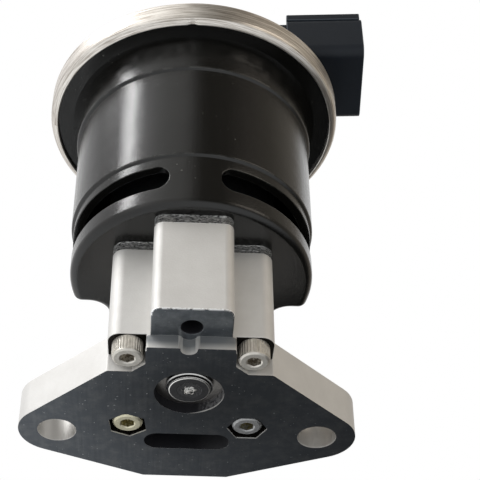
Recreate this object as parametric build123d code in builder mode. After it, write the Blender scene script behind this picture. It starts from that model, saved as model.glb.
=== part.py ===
from build123d import *
import os
from math import atan2, degrees, hypot

os.makedirs("parts", exist_ok=True)

# Solenoid exhaust-gas recirculation valve, in millimetres.
# The origin is midway between the two mounting holes on the mating face, +Z runs up along the
# stem, X runs from one mounting hole to the other, and the boss is on the -Y side of the stem.

# ---- Mounting flange and cast body
hole_spacing = 60.0
mounting_hole_radius = 4.5
lug_radius = 8.9
stem_offset = 16.2
flange_thickness = 9.4
far_edge_distance = 18.5
far_edge_length = 20.0
body_height = 28.6
column_width = 36.4
column_front = 15.4
column_back = 19.2
column_corner_radius = 3.0
tongue_width = 19.2
tongue_front = 16.65
tongue_draft = 0.85
drain_groove_radius = 1.85
drain_groove_x = -0.5
boss_width = 17.8
boss_front = 25.1
boss_foot = 4.05
boss_corner_radius = 2.2
boss_bore_radius = 2.3
boss_bore_offset = 18.8
boss_bore_depth = 12.0

# ---- Gas way
port_radius = 7.8
seat_recess = 2.6
seat_thickness = 2.4
seat_bore_radius = 4.0
chamber_radius = 7.0
chamber_height = 9.0
duct_width = 12.0
outlet_length = 19.8
outlet_width = 6.2
outlet_offset = 19.5
outlet_wall = 2.5
outlet_round = 2.0
duct_floor = 1.25

# ---- Case screws
screw_x = 13.7
near_screw_offset = 11.8
far_screw_offset = 13.4
screw_radius = 2.0
screw_clearance = 0.2
head_radius = 3.5
head_height = 4.0
pocket_depth = 4.4
pocket_inner_x = 9.8
pocket_shoulder = 7.7
pocket_chamfer = 2.9
hex_pocket_radius = 4.7
left_hex_turn = 24.0
right_hex_turn = 0.0
key_radius = 1.7
key_depth = 2.2
head_chamfer = 0.3

# ---- Valve
disc_radius = 4.9
disc_protrusion = 0.8
disc_edge_chamfer = 0.3
seat_gap = 0.1
stem_radius = 2.5
running_clearance = 0.04
guide_radius = 5.0
guide_entry = 2.0
guide_chamfer = 1.25
seal_radius = 6.5
seal_height = 4.0
disc_screw_head_radius = 2.7
disc_screw_head_height = 1.0
disc_screw_radius = 1.0
disc_screw_length = 6.0
disc_web = 0.5
lobe_circle_radius = 1.25
lobe_radius = 0.45
lobe_depth = 0.6
stem_tip_radius = 1.5
stem_tip_length = 4.8
valve_travel = 4.5

# ---- Gasket between body and case
gasket_thickness = 2.1
gasket_bore_radius = 6.5

# ---- Solenoid case
case_height = 56.0
case_wall = 2.2
case_floor = 2.4
lower_case_radius = 28.7
case_step = 0.6
lower_band_height = 15.3
neck_step = 0.6
neck_start = 43.3
case_bottom_round = 2.0
neck_taper = 0.4
neck_flare = 1.1
neck_flare_height = 3.8
slot_bottom = 5.65
slot_height = 6.65
slot_start_angle = 12.0
slot_end_angle = 92.0
slot_cut_depth = 6.6
slot_cut_margin = 2.2
access_width = 20.8
access_front = 8.4
access_back = 20.0
access_corner_radius = 5.0
access_height = 13.8
ear_round = 2.2
flange_overhang = 6.1
case_flange_thickness = 2.6
case_bore_radius = 7.0
seal_groove_land = 2.4
seal_groove_width = 2.6
seal_groove_depth = 1.4

# ---- Magnetic circuit and coil
plate_thickness = 4.0
plate_radius = 24.0
plate_gap = 0.4
yoke_radius = 20.4
yoke_wall = 1.6
core_flange_thickness = 3.0
core_height = 15.6
core_bore_clearance = 0.3
core_cone_height = 3.0
core_cone_rim = 8.6
spring_pocket_radius = 5.2
spring_pocket_floor = 4.9
sleeve_radius = 11.0
sleeve_wall = 0.6
bobbin_wall = 1.0
bobbin_flange = 1.4
winding_radius = 18.0
upper_plate_thickness = 3.0
coil_cover_depth = 7.7
plate_hole_count = 8
plate_hole_radius = 1.525
armature_height = 17.5
armature_clearance = 0.08
armature_gap = 0.3
armature_pocket_depth = 2.0
clip_radius = 4.0
clip_thickness = 1.2
spring_wire_radius = 0.55
spring_turns = 5

# ---- Crimp ring
ring_wall = 1.3
ring_lip_reach = 0.7
ring_lip_thickness = 0.9
ring_top_reach = 2.2
ring_top_thickness = 1.3
ring_groove = 0.3
ring_edge_chamfer = 0.6

# ---- Sensor cap and connector
cap_rim_thickness = 1.7
cap_step_height = 1.6
skirt_radius = 26.2
skirt_wall = 2.4
cap_crown_rise = 5.5
cap_slope_width = 5.5
cap_slope_rise = 1.8
housing_radius = 16.0
housing_height = 23.6
housing_taper = 0.5
housing_round = 2.5
chamber_wall = 4.0
sensor_chamber_floor = 1.5
sensor_chamber_roof = 2.8
connector_turn = -4.0
connector_reach = 45.0
connector_start = 25.0
connector_width = 25.2
connector_bottom = 99.0
connector_height = 14.2
connector_wall = 1.8
connector_corner = 2.8
socket_depth = 16.0
neck_inset = 1.4
rail_height = 0.9
rail_width = 2.2
rail_setback = 0.5
lock_width = 6.0
lock_length = 5.0
lock_height = 1.6
lock_start = 6.7
lock_taper = 10.0
pin_count = 5
pin_pitch = 3.6
pin_width = 1.6
pin_thickness = 0.8
pin_reach = 12.0

# ---- Position sensor
guide_disc_thickness = 3.5
plunger_radius = 2.0
plunger_gap = 0.1
carrier_radius = 5.0
carrier_thickness = 2.0
carrier_stop_gap = 0.3
board_thickness = 1.0
board_inset = 1.8
board_height = 16.0
board_gap = 0.1
wiper_width = 4.0
wiper_thickness = 1.0
sensor_wire_radius = 0.35
sensor_spring_radius = 3.4
sensor_spring_turns = 5

# ---- Heights and places that follow from the sizes above
stem_y = -stem_offset
shoulder_y = stem_y - pocket_shoulder
seat_top = seat_recess + seat_thickness
chamber_top = seat_top + chamber_height
boss_bore_y = stem_y - boss_bore_offset
guide_bottom = chamber_top - guide_entry
guide_top = body_height - seal_height
case_bottom = body_height + gasket_thickness
case_top = case_bottom + case_height
case_inner_radius = lower_case_radius - case_wall
upper_radius = lower_case_radius + case_step
neck_radius = upper_radius + neck_step
flange_radius = neck_radius + flange_overhang
seal_groove_outer = flange_radius - seal_groove_land
seal_groove_inner = seal_groove_outer - seal_groove_width
floor_top = case_bottom + case_floor
plate_top = floor_top + plate_thickness
core_flange_top = plate_top + core_flange_thickness
core_top = plate_top + core_height
upper_plate_top = case_top - coil_cover_depth
yoke_top = upper_plate_top - upper_plate_thickness
bobbin_bottom = core_flange_top
armature_bottom = core_top + valve_travel + armature_gap
armature_top = armature_bottom + armature_height
armature_radius = sleeve_radius - sleeve_wall - armature_clearance
spring_seat = plate_top + spring_pocket_floor
stem_top = armature_top + clip_thickness + stem_tip_length
rim_top = case_top + cap_rim_thickness
ring_bottom = case_top - case_flange_thickness - ring_lip_thickness
ring_top = rim_top + ring_top_thickness
ring_radius = flange_radius + ring_wall
ring_lip_inner = flange_radius - ring_lip_reach
ring_top_inner = flange_radius - ring_top_reach
cap_floor = ring_top + cap_step_height
housing_top = cap_floor + housing_height
chamber_bore = housing_radius - chamber_wall
sensor_floor = rim_top + sensor_chamber_floor
sensor_roof = housing_top - sensor_chamber_roof
guide_disc_top = sensor_floor + guide_disc_thickness
carrier_bottom = guide_disc_top + valve_travel + carrier_stop_gap
carrier_top = carrier_bottom + carrier_thickness
connector_middle = connector_bottom + connector_height / 2
board_face = chamber_bore - board_inset - board_thickness

access_length = access_front + access_back
access_middle = (access_back - access_front) / 2

# ---- Working planes and axes
stem_axis = Axis((0, stem_y, 0), (0, 0, 1))
section = Plane(origin=(0, stem_y, 0), x_dir=(1, 0, 0), z_dir=(0, -1, 0))
both_holes = [(-hole_spacing / 2, 0), (hole_spacing / 2, 0)]
both_hollows = [(-hole_spacing / 2, access_middle), (hole_spacing / 2, access_middle)]
near_screws = [(-screw_x, stem_y - near_screw_offset), (screw_x, stem_y - near_screw_offset)]
far_screws = [(-screw_x, stem_y + far_screw_offset), (screw_x, stem_y + far_screw_offset)]
all_screws = near_screws + far_screws


def level(height):
    """A plane parallel to the mating face, with its origin on the stem axis."""
    return Plane(origin=(0, stem_y, height))


def connector_level(height):
    """A level plane whose x axis runs out along the connector."""
    return level(height).rotated((0, 0, connector_turn))


def half_plane(angle):
    """An upright plane through the stem axis, turned about it; its x runs outwards."""
    outwards = Vector(1, 0, 0).rotate(Axis.Z, angle)
    return Plane(origin=(0, stem_y, 0), x_dir=outwards, z_dir=outwards.rotate(Axis.Z, -90))


def across_connector(distance):
    """A plane square to the connector at a distance from the stem axis; its x runs sideways."""
    turned = connector_level(connector_middle)
    return Plane(origin=turned.from_local_coords((distance, 0, 0)), x_dir=turned.y_dir,
                 z_dir=turned.x_dir)


def write(piece, name):
    """Labels a finished piece and writes its STEP file."""
    piece.part.label = name
    export_step(piece.part, f"parts/{name}.step")


# ---- Cast body: the flange, two screw columns, the front boss and the gas way's hump.
with BuildPart() as valve_body:
    with BuildSketch():
        with Locations(*both_holes):
            Circle(lug_radius)
        with Locations((0, (far_edge_distance + shoulder_y) / 2)):
            Rectangle(far_edge_length, far_edge_distance - shoulder_y)
        with Locations((0, shoulder_y / 2)):
            Rectangle(column_width, -shoulder_y)
        make_hull()
    extrude(amount=flange_thickness)
    with BuildSketch(level(0)):
        with Locations((0, (column_back - column_front) / 2)):
            RectangleRounded(column_width, column_back + column_front, column_corner_radius)
    extrude(amount=body_height)
    # The tongue under the boss: its front wall leans back with draft, and has a drain groove.
    with BuildSketch(Plane.YZ):
        with BuildLine():
            Polyline(
                (stem_y, 0),
                (stem_y - tongue_front, 0),
                (stem_y - tongue_front + tongue_draft, boss_foot),
                (stem_y, boss_foot),
                close=True,
            )
        make_face()
    extrude(amount=tongue_width / 2, both=True)
    with BuildSketch():
        with Locations((drain_groove_x, stem_y - tongue_front + tongue_draft / 2)):
            Circle(drain_groove_radius)
    extrude(amount=boss_foot, mode=Mode.SUBTRACT)
    with BuildSketch(level(boss_foot)):
        with Locations((0, (boss_corner_radius - boss_front) / 2)):
            RectangleRounded(boss_width, boss_front + boss_corner_radius, boss_corner_radius)
    extrude(amount=body_height - boss_foot)
    with BuildSketch(level(0)):
        with Locations((0, outlet_offset)):
            SlotOverall(outlet_length + 2 * outlet_wall, outlet_width + 2 * outlet_wall)
    extrude(amount=chamber_top + outlet_wall)
    hump_top = (
        valve_body.edges()
        .filter_by(lambda edge: abs(edge.center().Z - chamber_top - outlet_wall) < 1e-3)
        .filter_by(lambda edge: edge.center().Y > stem_y + column_back + 1e-3)
    )
    fillet(hump_top, outlet_round)
    # Open corner pockets for the near screw heads, each with a chamfered inner corner.
    pocket_front = tongue_front + column_corner_radius
    pocket_side = column_width / 2 + column_corner_radius
    with BuildSketch(level(0)):
        with BuildLine():
            Polyline(
                (pocket_inner_x, -pocket_front),
                (pocket_inner_x, -pocket_shoulder - pocket_chamfer),
                (pocket_inner_x + pocket_chamfer, -pocket_shoulder),
                (pocket_side, -pocket_shoulder),
                (pocket_side, -pocket_front),
                close=True,
            )
        make_face()
        mirror(about=Plane.YZ)
    extrude(amount=pocket_depth, mode=Mode.SUBTRACT)
    # Six-sided pockets that sink the far screw heads into the mating face.
    with BuildSketch():
        with Locations(far_screws[0]):
            RegularPolygon(hex_pocket_radius, 6, rotation=left_hex_turn)
        with Locations(far_screws[1]):
            RegularPolygon(hex_pocket_radius, 6, rotation=right_hex_turn)
    extrude(amount=pocket_depth, mode=Mode.SUBTRACT)
    with BuildSketch():
        with Locations(*all_screws):
            Circle(screw_radius + screw_clearance)
    extrude(amount=body_height, mode=Mode.SUBTRACT)
    with BuildSketch():
        with Locations(*both_holes):
            Circle(mounting_hole_radius)
    extrude(amount=flange_thickness, mode=Mode.SUBTRACT)
    with BuildSketch():
        with Locations((0, boss_bore_y)):
            Circle(boss_bore_radius)
    extrude(amount=boss_foot + boss_bore_depth, mode=Mode.SUBTRACT)
    # Inlet port, chamber over the seat, stem guide bore and seal counterbore, turned in one go.
    with BuildSketch(section):
        with BuildLine():
            Polyline(
                (0, 0),
                (port_radius, 0),
                (port_radius, seat_top),
                (chamber_radius, seat_top),
                (chamber_radius, chamber_top),
                (guide_radius, chamber_top),
                (guide_radius, guide_top),
                (seal_radius, guide_top),
                (seal_radius, body_height),
                (0, body_height),
                close=True,
            )
        make_face()
    revolve(axis=stem_axis, mode=Mode.SUBTRACT)
    # Outlet slot and the duct that joins it to the chamber.
    with BuildSketch(level(0)):
        with Locations((0, outlet_offset)):
            SlotOverall(outlet_length, outlet_width)
    extrude(amount=chamber_top, mode=Mode.SUBTRACT)
    with BuildSketch(level(seat_top + duct_floor)):
        with Locations((0, outlet_offset / 2)):
            Rectangle(duct_width, outlet_offset)
    extrude(amount=chamber_height - duct_floor, mode=Mode.SUBTRACT)
write(valve_body, "valve_body")

# ---- Steel seat ring pressed into the port, with a conical face for the disc.
cone_height = disc_radius - seat_bore_radius
with BuildPart() as valve_seat:
    with BuildSketch(section):
        with BuildLine():
            Polyline(
                (port_radius, seat_top),
                (port_radius, seat_recess),
                (disc_radius, seat_recess),
                (seat_bore_radius, seat_recess + cone_height),
                (seat_bore_radius, seat_top),
                close=True,
            )
        make_face()
    revolve(axis=stem_axis)
write(valve_seat, "valve_seat")

# ---- Bush that guides the stem.
with BuildPart() as stem_guide:
    with BuildSketch(level(guide_bottom)):
        Circle(guide_radius)
        Circle(stem_radius + running_clearance, mode=Mode.SUBTRACT)
    extrude(amount=guide_top - guide_bottom)
    chamfer(stem_guide.edges().group_by(Axis.Z)[0].sort_by(SortBy.RADIUS)[-1], guide_chamfer)
write(stem_guide, "stem_guide")

# ---- Stem seal in its counterbore under the gasket.
with BuildPart() as stem_seal:
    with BuildSketch(level(guide_top)):
        Circle(seal_radius)
        Circle(stem_radius + running_clearance, mode=Mode.SUBTRACT)
    extrude(amount=body_height - guide_top)
write(stem_seal, "stem_seal")

# ---- Heat-insulating gasket with the outline of the columns and boss.
with BuildPart() as body_gasket:
    with BuildSketch(level(body_height)):
        with Locations((0, (column_back - column_front) / 2)):
            RectangleRounded(column_width, column_back + column_front, column_corner_radius)
        with Locations((0, (boss_corner_radius - boss_front) / 2)):
            RectangleRounded(boss_width, boss_front + boss_corner_radius, boss_corner_radius)
        Circle(gasket_bore_radius, mode=Mode.SUBTRACT)
    extrude(amount=gasket_thickness)
    with BuildSketch(Plane.XY.offset(body_height)):
        with Locations(*all_screws):
            Circle(screw_radius + screw_clearance)
    extrude(amount=gasket_thickness, mode=Mode.SUBTRACT)
write(body_gasket, "body_gasket")

# ---- Moulded solenoid case: a stepped cup with a flared top flange, two cooling slots and two
# ---- hollows over the mounting holes that leave room for the nuts and a spanner.
band_top = case_bottom + lower_band_height
neck_bottom = case_bottom + neck_start
flange_bottom = case_top - case_flange_thickness
access_top = case_bottom + access_height
with BuildPart() as solenoid_case:
    with BuildSketch(section):
        with BuildLine():
            Polyline(
                (0, case_bottom),
                (lower_case_radius, case_bottom),
                (lower_case_radius, band_top - case_step),
                (upper_radius, band_top),
                (upper_radius, neck_bottom),
                (neck_radius, neck_bottom + neck_step),
                (neck_radius + neck_taper, flange_bottom - neck_flare_height),
                (neck_radius + neck_taper + neck_flare, flange_bottom),
                (flange_radius, flange_bottom),
                (flange_radius, case_top),
                (0, case_top),
                close=True,
            )
        make_face()
    revolve(axis=stem_axis)
    # Spanner hollows over the mounting holes, open to the side and the back.
    with BuildSketch(Plane.XY.offset(case_bottom)):
        with Locations(*both_hollows):
            RectangleRounded(access_width, access_length, access_corner_radius)
    extrude(amount=access_height, mode=Mode.SUBTRACT)
    ears = (
        solenoid_case.edges()
        .filter_by(Axis.Z)
        .filter_by(lambda edge: edge.center().Z < access_top)
        .filter_by(lambda edge: hypot(edge.center().X, edge.center().Y - stem_y) > case_inner_radius)
    )
    fillet(ears, ear_round)
    bottom_rim = (
        solenoid_case.edges()
        .filter_by(lambda edge: abs(edge.center().Z - case_bottom) < 1e-3)
        .filter_by(lambda edge: edge.bounding_box().size.Z < 1e-3)
    )
    fillet(bottom_rim, case_bottom_round)
    # The inside: a round bore above the hollows, and below them a bore that bends round them.
    with BuildSketch(Plane.XY.offset(floor_top)):
        with Locations((0, stem_y)):
            Circle(case_inner_radius)
        with Locations(*both_hollows):
            RectangleRounded(
                access_width + 2 * case_wall,
                access_length + 2 * case_wall,
                access_corner_radius + case_wall,
                mode=Mode.SUBTRACT,
            )
    extrude(amount=access_top + case_wall - floor_top, mode=Mode.SUBTRACT)
    with BuildSketch(level(access_top + case_wall)):
        Circle(case_inner_radius)
    extrude(amount=case_top - access_top - case_wall, mode=Mode.SUBTRACT)
    # Bore for the stem and holes for the case screws.
    with BuildSketch(level(case_bottom)):
        Circle(case_bore_radius)
    extrude(amount=case_floor, mode=Mode.SUBTRACT)
    with BuildSketch(Plane.XY.offset(case_bottom)):
        with Locations(*all_screws):
            Circle(screw_radius + screw_clearance)
    extrude(amount=case_floor, mode=Mode.SUBTRACT)
    # Groove for the cap seal.
    with BuildSketch(level(case_top - seal_groove_depth)):
        Circle(seal_groove_outer)
        Circle(seal_groove_inner, mode=Mode.SUBTRACT)
    extrude(amount=seal_groove_depth, mode=Mode.SUBTRACT)
    # Cooling slots: a swept band through the wall, closed by a round end at each side.
    slot_middle = case_bottom + slot_bottom + slot_height / 2
    slot_inner = case_inner_radius - slot_cut_margin
    end_margin = degrees(atan2(slot_height / 2, lower_case_radius))
    for side in (-1, 1):
        first = -90 + side * (slot_start_angle + end_margin)
        last = -90 + side * (slot_end_angle - end_margin)
        with BuildSketch(half_plane(min(first, last))):
            with Locations((slot_inner + slot_cut_depth / 2, slot_middle)):
                Rectangle(slot_cut_depth, slot_height)
        revolve(axis=stem_axis, revolution_arc=abs(last - first), mode=Mode.SUBTRACT)
        for angle in (first, last):
            outwards = half_plane(angle).x_dir
            slot_end = Plane(
                origin=Vector(0, stem_y, slot_middle) + outwards * slot_inner,
                x_dir=(0, 0, 1),
                z_dir=outwards,
            )
            with BuildSketch(slot_end):
                Circle(slot_height / 2)
            extrude(amount=slot_cut_depth, mode=Mode.SUBTRACT)
write(solenoid_case, "solenoid_case")

# ---- Steel plate inside the case that the four case screws thread into.
with BuildPart() as frame_plate:
    with BuildSketch(Plane.XY.offset(floor_top)):
        with Locations((0, stem_y)):
            Circle(plate_radius)
            Circle(case_bore_radius, mode=Mode.SUBTRACT)
        with Locations(*both_hollows):
            RectangleRounded(
                access_width + 2 * (case_wall + plate_gap),
                access_length + 2 * (case_wall + plate_gap),
                access_corner_radius + case_wall + plate_gap,
                mode=Mode.SUBTRACT,
            )
        with Locations(*all_screws):
            Circle(screw_radius, mode=Mode.SUBTRACT)
    extrude(amount=plate_thickness)
write(frame_plate, "frame_plate")

# ---- Socket-head case screws, a near pair in the open pockets and a far pair in the face.
for name, places in (("near_case_screws", near_screws), ("far_case_screws", far_screws)):
    with BuildPart() as case_screws:
        head_bottom = pocket_depth - head_height
        with BuildSketch(Plane.XY.offset(head_bottom)):
            with Locations(*places):
                Circle(head_radius)
        extrude(amount=head_height)
        with BuildSketch(Plane.XY.offset(pocket_depth)):
            with Locations(*places):
                Circle(screw_radius)
        extrude(amount=plate_top - pocket_depth)
        chamfer(case_screws.edges().group_by(Axis.Z)[0], head_chamfer)
        with BuildSketch(Plane.XY.offset(head_bottom)):
            with Locations(*places):
                RegularPolygon(key_radius, 6)
        extrude(amount=key_depth, mode=Mode.SUBTRACT)
    write(case_screws, name)

# ---- Fixed pole core: a flange, a hub inside the coil and a conical rim that draws the armature.
core_bore = stem_radius + core_bore_clearance
with BuildPart() as pole_core:
    with BuildSketch(section):
        with BuildLine():
            Polyline(
                (core_bore, plate_top),
                (yoke_radius - yoke_wall, plate_top),
                (yoke_radius - yoke_wall, core_flange_top),
                (sleeve_radius, core_flange_top),
                (sleeve_radius, core_top),
                (sleeve_radius - sleeve_wall, core_top),
                (core_cone_rim, core_top - core_cone_height),
                (spring_pocket_radius, core_top - core_cone_height),
                (spring_pocket_radius, spring_seat),
                (core_bore, spring_seat),
                close=True,
            )
        make_face()
    revolve(axis=stem_axis)
write(pole_core, "pole_core")

# ---- Yoke tube round the coil.
with BuildPart() as yoke_tube:
    with BuildSketch(level(plate_top)):
        Circle(yoke_radius)
        Circle(yoke_radius - yoke_wall, mode=Mode.SUBTRACT)
    extrude(amount=yoke_top - plate_top)
write(yoke_tube, "yoke_tube")

# ---- Upper plate: closes the magnetic circuit and centres the coil in the case.
with BuildPart() as upper_plate:
    with BuildSketch(level(yoke_top)):
        Circle(case_inner_radius)
        Circle(sleeve_radius, mode=Mode.SUBTRACT)
        with PolarLocations((case_inner_radius + yoke_radius) / 2, plate_hole_count):
            Circle(plate_hole_radius, mode=Mode.SUBTRACT)
    extrude(amount=upper_plate_thickness)
write(upper_plate, "upper_plate")

# ---- Bobbin and its copper winding.
with BuildPart() as coil_bobbin:
    with BuildSketch(section):
        with BuildLine():
            Polyline(
                (sleeve_radius, bobbin_bottom),
                (yoke_radius - yoke_wall, bobbin_bottom),
                (yoke_radius - yoke_wall, bobbin_bottom + bobbin_flange),
                (sleeve_radius + bobbin_wall, bobbin_bottom + bobbin_flange),
                (sleeve_radius + bobbin_wall, yoke_top - bobbin_flange),
                (yoke_radius - yoke_wall, yoke_top - bobbin_flange),
                (yoke_radius - yoke_wall, yoke_top),
                (sleeve_radius, yoke_top),
                close=True,
            )
        make_face()
    revolve(axis=stem_axis)
write(coil_bobbin, "coil_bobbin")

with BuildPart() as coil_winding:
    with BuildSketch(level(bobbin_bottom + bobbin_flange)):
        Circle(winding_radius)
        Circle(sleeve_radius + bobbin_wall, mode=Mode.SUBTRACT)
    extrude(amount=yoke_top - bobbin_bottom - 2 * bobbin_flange)
write(coil_winding, "coil_winding")

# ---- Brass sleeve that the armature slides in.
with BuildPart() as armature_sleeve:
    with BuildSketch(level(core_top)):
        Circle(sleeve_radius)
        Circle(sleeve_radius - sleeve_wall, mode=Mode.SUBTRACT)
    extrude(amount=upper_plate_top - core_top)
write(armature_sleeve, "armature_sleeve")

# ---- Valve stem: from the disc up through the guide and the armature to the sensor.
stem_bottom = disc_protrusion + disc_screw_head_height + disc_web
with BuildPart() as valve_stem:
    with BuildSketch(level(stem_bottom)):
        Circle(stem_radius)
    extrude(amount=armature_top + clip_thickness - stem_bottom)
    with BuildSketch(level(armature_top + clip_thickness)):
        Circle(stem_tip_radius)
    extrude(amount=stem_tip_length)
    with BuildSketch(level(stem_bottom)):
        Circle(disc_screw_radius)
    extrude(amount=disc_screw_length - disc_web, mode=Mode.SUBTRACT)
    # Groove for the clip that holds the armature down on its shoulder.
    with BuildSketch(level(armature_top)):
        Circle(stem_radius)
        Circle(stem_tip_radius, mode=Mode.SUBTRACT)
    extrude(amount=clip_thickness, mode=Mode.SUBTRACT)
write(valve_stem, "valve_stem")

# ---- Valve disc with a conical seating face and a sunk place for its screw.
with BuildPart() as valve_disc:
    with BuildSketch(section):
        with BuildLine():
            Polyline(
                (disc_screw_head_radius, disc_protrusion),
                (disc_radius - seat_gap, disc_protrusion),
                (disc_radius - seat_gap, seat_recess - seat_gap),
                (seat_bore_radius - seat_gap, seat_recess - seat_gap + cone_height),
                (stem_radius, seat_recess - seat_gap + cone_height),
                (stem_radius, stem_bottom),
                (disc_screw_radius, stem_bottom),
                (disc_screw_radius, stem_bottom - disc_web),
                (disc_screw_head_radius, stem_bottom - disc_web),
                close=True,
            )
        make_face()
    revolve(axis=stem_axis)
    chamfer(valve_disc.edges().group_by(Axis.Z)[0].sort_by(SortBy.RADIUS)[-1], disc_edge_chamfer)
write(valve_disc, "valve_disc")

# ---- Six-lobe screw that holds the disc on the stem.
with BuildPart() as disc_screw:
    with BuildSketch(level(disc_protrusion)):
        Circle(disc_screw_head_radius)
    extrude(amount=disc_screw_head_height)
    with BuildSketch(level(disc_protrusion + disc_screw_head_height)):
        Circle(disc_screw_radius)
    extrude(amount=disc_screw_length)
    with BuildSketch(level(disc_protrusion)):
        Circle(lobe_circle_radius)
        with PolarLocations(lobe_circle_radius, 6):
            Circle(lobe_radius)
    extrude(amount=lobe_depth, mode=Mode.SUBTRACT)
write(disc_screw, "disc_screw")

# ---- Armature fixed on the stem, with a pocket for the return spring.
with BuildPart() as armature:
    with BuildSketch(section):
        with BuildLine():
            Polyline(
                (stem_radius, armature_bottom + armature_pocket_depth),
                (spring_pocket_radius, armature_bottom + armature_pocket_depth),
                (spring_pocket_radius, armature_bottom - core_cone_height),
                (core_cone_rim - armature_gap, armature_bottom - core_cone_height),
                (armature_radius, armature_bottom),
                (armature_radius, armature_top),
                (stem_radius, armature_top),
                close=True,
            )
        make_face()
    revolve(axis=stem_axis)
write(armature, "armature")

with BuildPart() as stem_clip:
    with BuildSketch(level(armature_top)):
        Circle(clip_radius)
        Circle(stem_tip_radius, mode=Mode.SUBTRACT)
    extrude(amount=clip_thickness)
write(stem_clip, "stem_clip")


def coil_spring(low, high, mean_radius, wire_radius, turns):
    """A round-wire compression spring between two seats."""
    rise = high - low - 2 * wire_radius
    with BuildPart() as spring:
        with BuildLine(level(low + wire_radius)) as path:
            Helix(rise / turns, rise, mean_radius)
        with BuildSketch(Plane(origin=path.line @ 0, z_dir=path.line % 0)):
            Circle(wire_radius)
        sweep(path=path.line, is_frenet=True)
    return spring


# ---- Return spring between the core's pocket and the armature's.
spring_mean_radius = (stem_radius + spring_pocket_radius) / 2
return_spring = coil_spring(
    spring_seat, armature_bottom + armature_pocket_depth, spring_mean_radius,
    spring_wire_radius, spring_turns,
)
write(return_spring, "return_spring")

# ---- Seal between the case flange and the cap.
with BuildPart() as cap_seal:
    with BuildSketch(level(case_top - seal_groove_depth)):
        Circle(seal_groove_outer)
        Circle(seal_groove_inner, mode=Mode.SUBTRACT)
    extrude(amount=seal_groove_depth)
write(cap_seal, "cap_seal")

# ---- Sensor cap: a moulded lid with a skirt on the coil, a sensor housing and the connector.
shell_length = connector_reach - connector_start
with BuildPart() as sensor_cap:
    with BuildSketch(section):
        with BuildLine():
            Polyline(
                (0, case_top),
                (flange_radius, case_top),
                (flange_radius, rim_top),
                (ring_top_inner - ring_groove, rim_top),
                (ring_top_inner - ring_groove, cap_floor),
                (housing_radius + cap_slope_width, cap_floor + cap_slope_rise),
                (housing_radius + housing_taper, cap_floor + cap_crown_rise),
                (housing_radius, housing_top),
                (0, housing_top),
                close=True,
            )
        make_face()
    revolve(axis=stem_axis)
    housing_rim = (
        sensor_cap.edges().filter_by(GeomType.CIRCLE).group_by(Axis.Z)[-1].sort_by(SortBy.RADIUS)[-1]
    )
    fillet(housing_rim, housing_round)
    # Neck between the housing and the connector shell.
    with BuildSketch(across_connector(0)):
        Rectangle(connector_width - 2 * neck_inset, connector_height - 2 * neck_inset)
    extrude(amount=connector_start)
    with BuildSketch(across_connector(connector_start)):
        RectangleRounded(connector_width, connector_height, connector_corner)
    extrude(amount=shell_length)
    # Two guide rails along the shell's upper corners and a lock ramp between them.
    with BuildSketch(across_connector(connector_start)):
        with Locations((0, connector_height / 2 + rail_height - rail_width / 2)):
            with GridLocations(connector_width - rail_width, 1, 2, 1):
                Rectangle(rail_width, rail_width)
    extrude(amount=shell_length - rail_setback)
    with BuildSketch(across_connector(connector_start + lock_start)):
        with Locations((0, connector_height / 2)):
            Rectangle(lock_width, 2 * lock_height)
    extrude(amount=lock_length, taper=lock_taper)
    # The socket.
    with BuildSketch(across_connector(connector_reach - socket_depth)):
        RectangleRounded(
            connector_width - 2 * connector_wall,
            connector_height - 2 * connector_wall,
            connector_corner - connector_wall,
        )
    extrude(amount=socket_depth, mode=Mode.SUBTRACT)
    # Slits that the terminal pins are pressed through.
    with BuildSketch(across_connector(chamber_bore - board_inset)):
        with GridLocations(pin_pitch, 1, pin_count, 1):
            Rectangle(pin_width, pin_thickness)
    extrude(amount=connector_reach - socket_depth - chamber_bore + board_inset, mode=Mode.SUBTRACT)
    # The hollow under the lid and the sensor chamber.
    with BuildSketch(level(case_top)):
        Circle(skirt_radius - skirt_wall)
    extrude(amount=rim_top - case_top + sensor_chamber_floor, mode=Mode.SUBTRACT)
    with BuildSketch(level(case_top)):
        Circle(chamber_bore)
    extrude(amount=sensor_roof - case_top, mode=Mode.SUBTRACT)
    # The skirt that holds the coil down.
    with BuildSketch(level(upper_plate_top)):
        Circle(skirt_radius)
        Circle(skirt_radius - skirt_wall, mode=Mode.SUBTRACT)
    extrude(amount=case_top - upper_plate_top)
write(sensor_cap, "sensor_cap")

# ---- Crimp ring rolled round the case flange and the cap rim.
with BuildPart() as crimp_ring:
    with BuildSketch(section):
        with BuildLine():
            Polyline(
                (ring_lip_inner, flange_bottom),
                (ring_lip_inner, ring_bottom + ring_groove),
                (ring_lip_inner + ring_groove, ring_bottom),
                (ring_radius - ring_edge_chamfer, flange_bottom - ring_groove),
                (ring_radius - ring_edge_chamfer, flange_bottom),
                (ring_radius, flange_bottom + ring_edge_chamfer),
                (ring_radius, ring_top - ring_edge_chamfer),
                (ring_radius - ring_edge_chamfer, ring_top),
                (ring_top_inner, ring_top),
                (ring_top_inner, rim_top),
                (flange_radius, rim_top),
                (flange_radius, flange_bottom),
                close=True,
            )
        make_face()
    revolve(axis=stem_axis)
write(crimp_ring, "crimp_ring")

# ---- Terminal pins: one row of blades from the resistor board into the socket.
with BuildPart() as terminal_pins:
    with BuildSketch(across_connector(chamber_bore - board_inset)):
        with GridLocations(pin_pitch, 1, pin_count, 1):
            Rectangle(pin_width, pin_thickness)
    extrude(amount=connector_reach - socket_depth + pin_reach - chamber_bore + board_inset)
write(terminal_pins, "terminal_pins")

# ---- Resistor board that the wiper rubs along.
board_half_width = (chamber_bore**2 - (chamber_bore - board_inset) ** 2) ** 0.5
with BuildPart() as sensor_board:
    with BuildSketch(connector_level(guide_disc_top)):
        with Locations((board_face + board_thickness / 2, 0)):
            Rectangle(board_thickness, 2 * board_half_width)
    extrude(amount=board_height)
write(sensor_board, "sensor_board")

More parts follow.
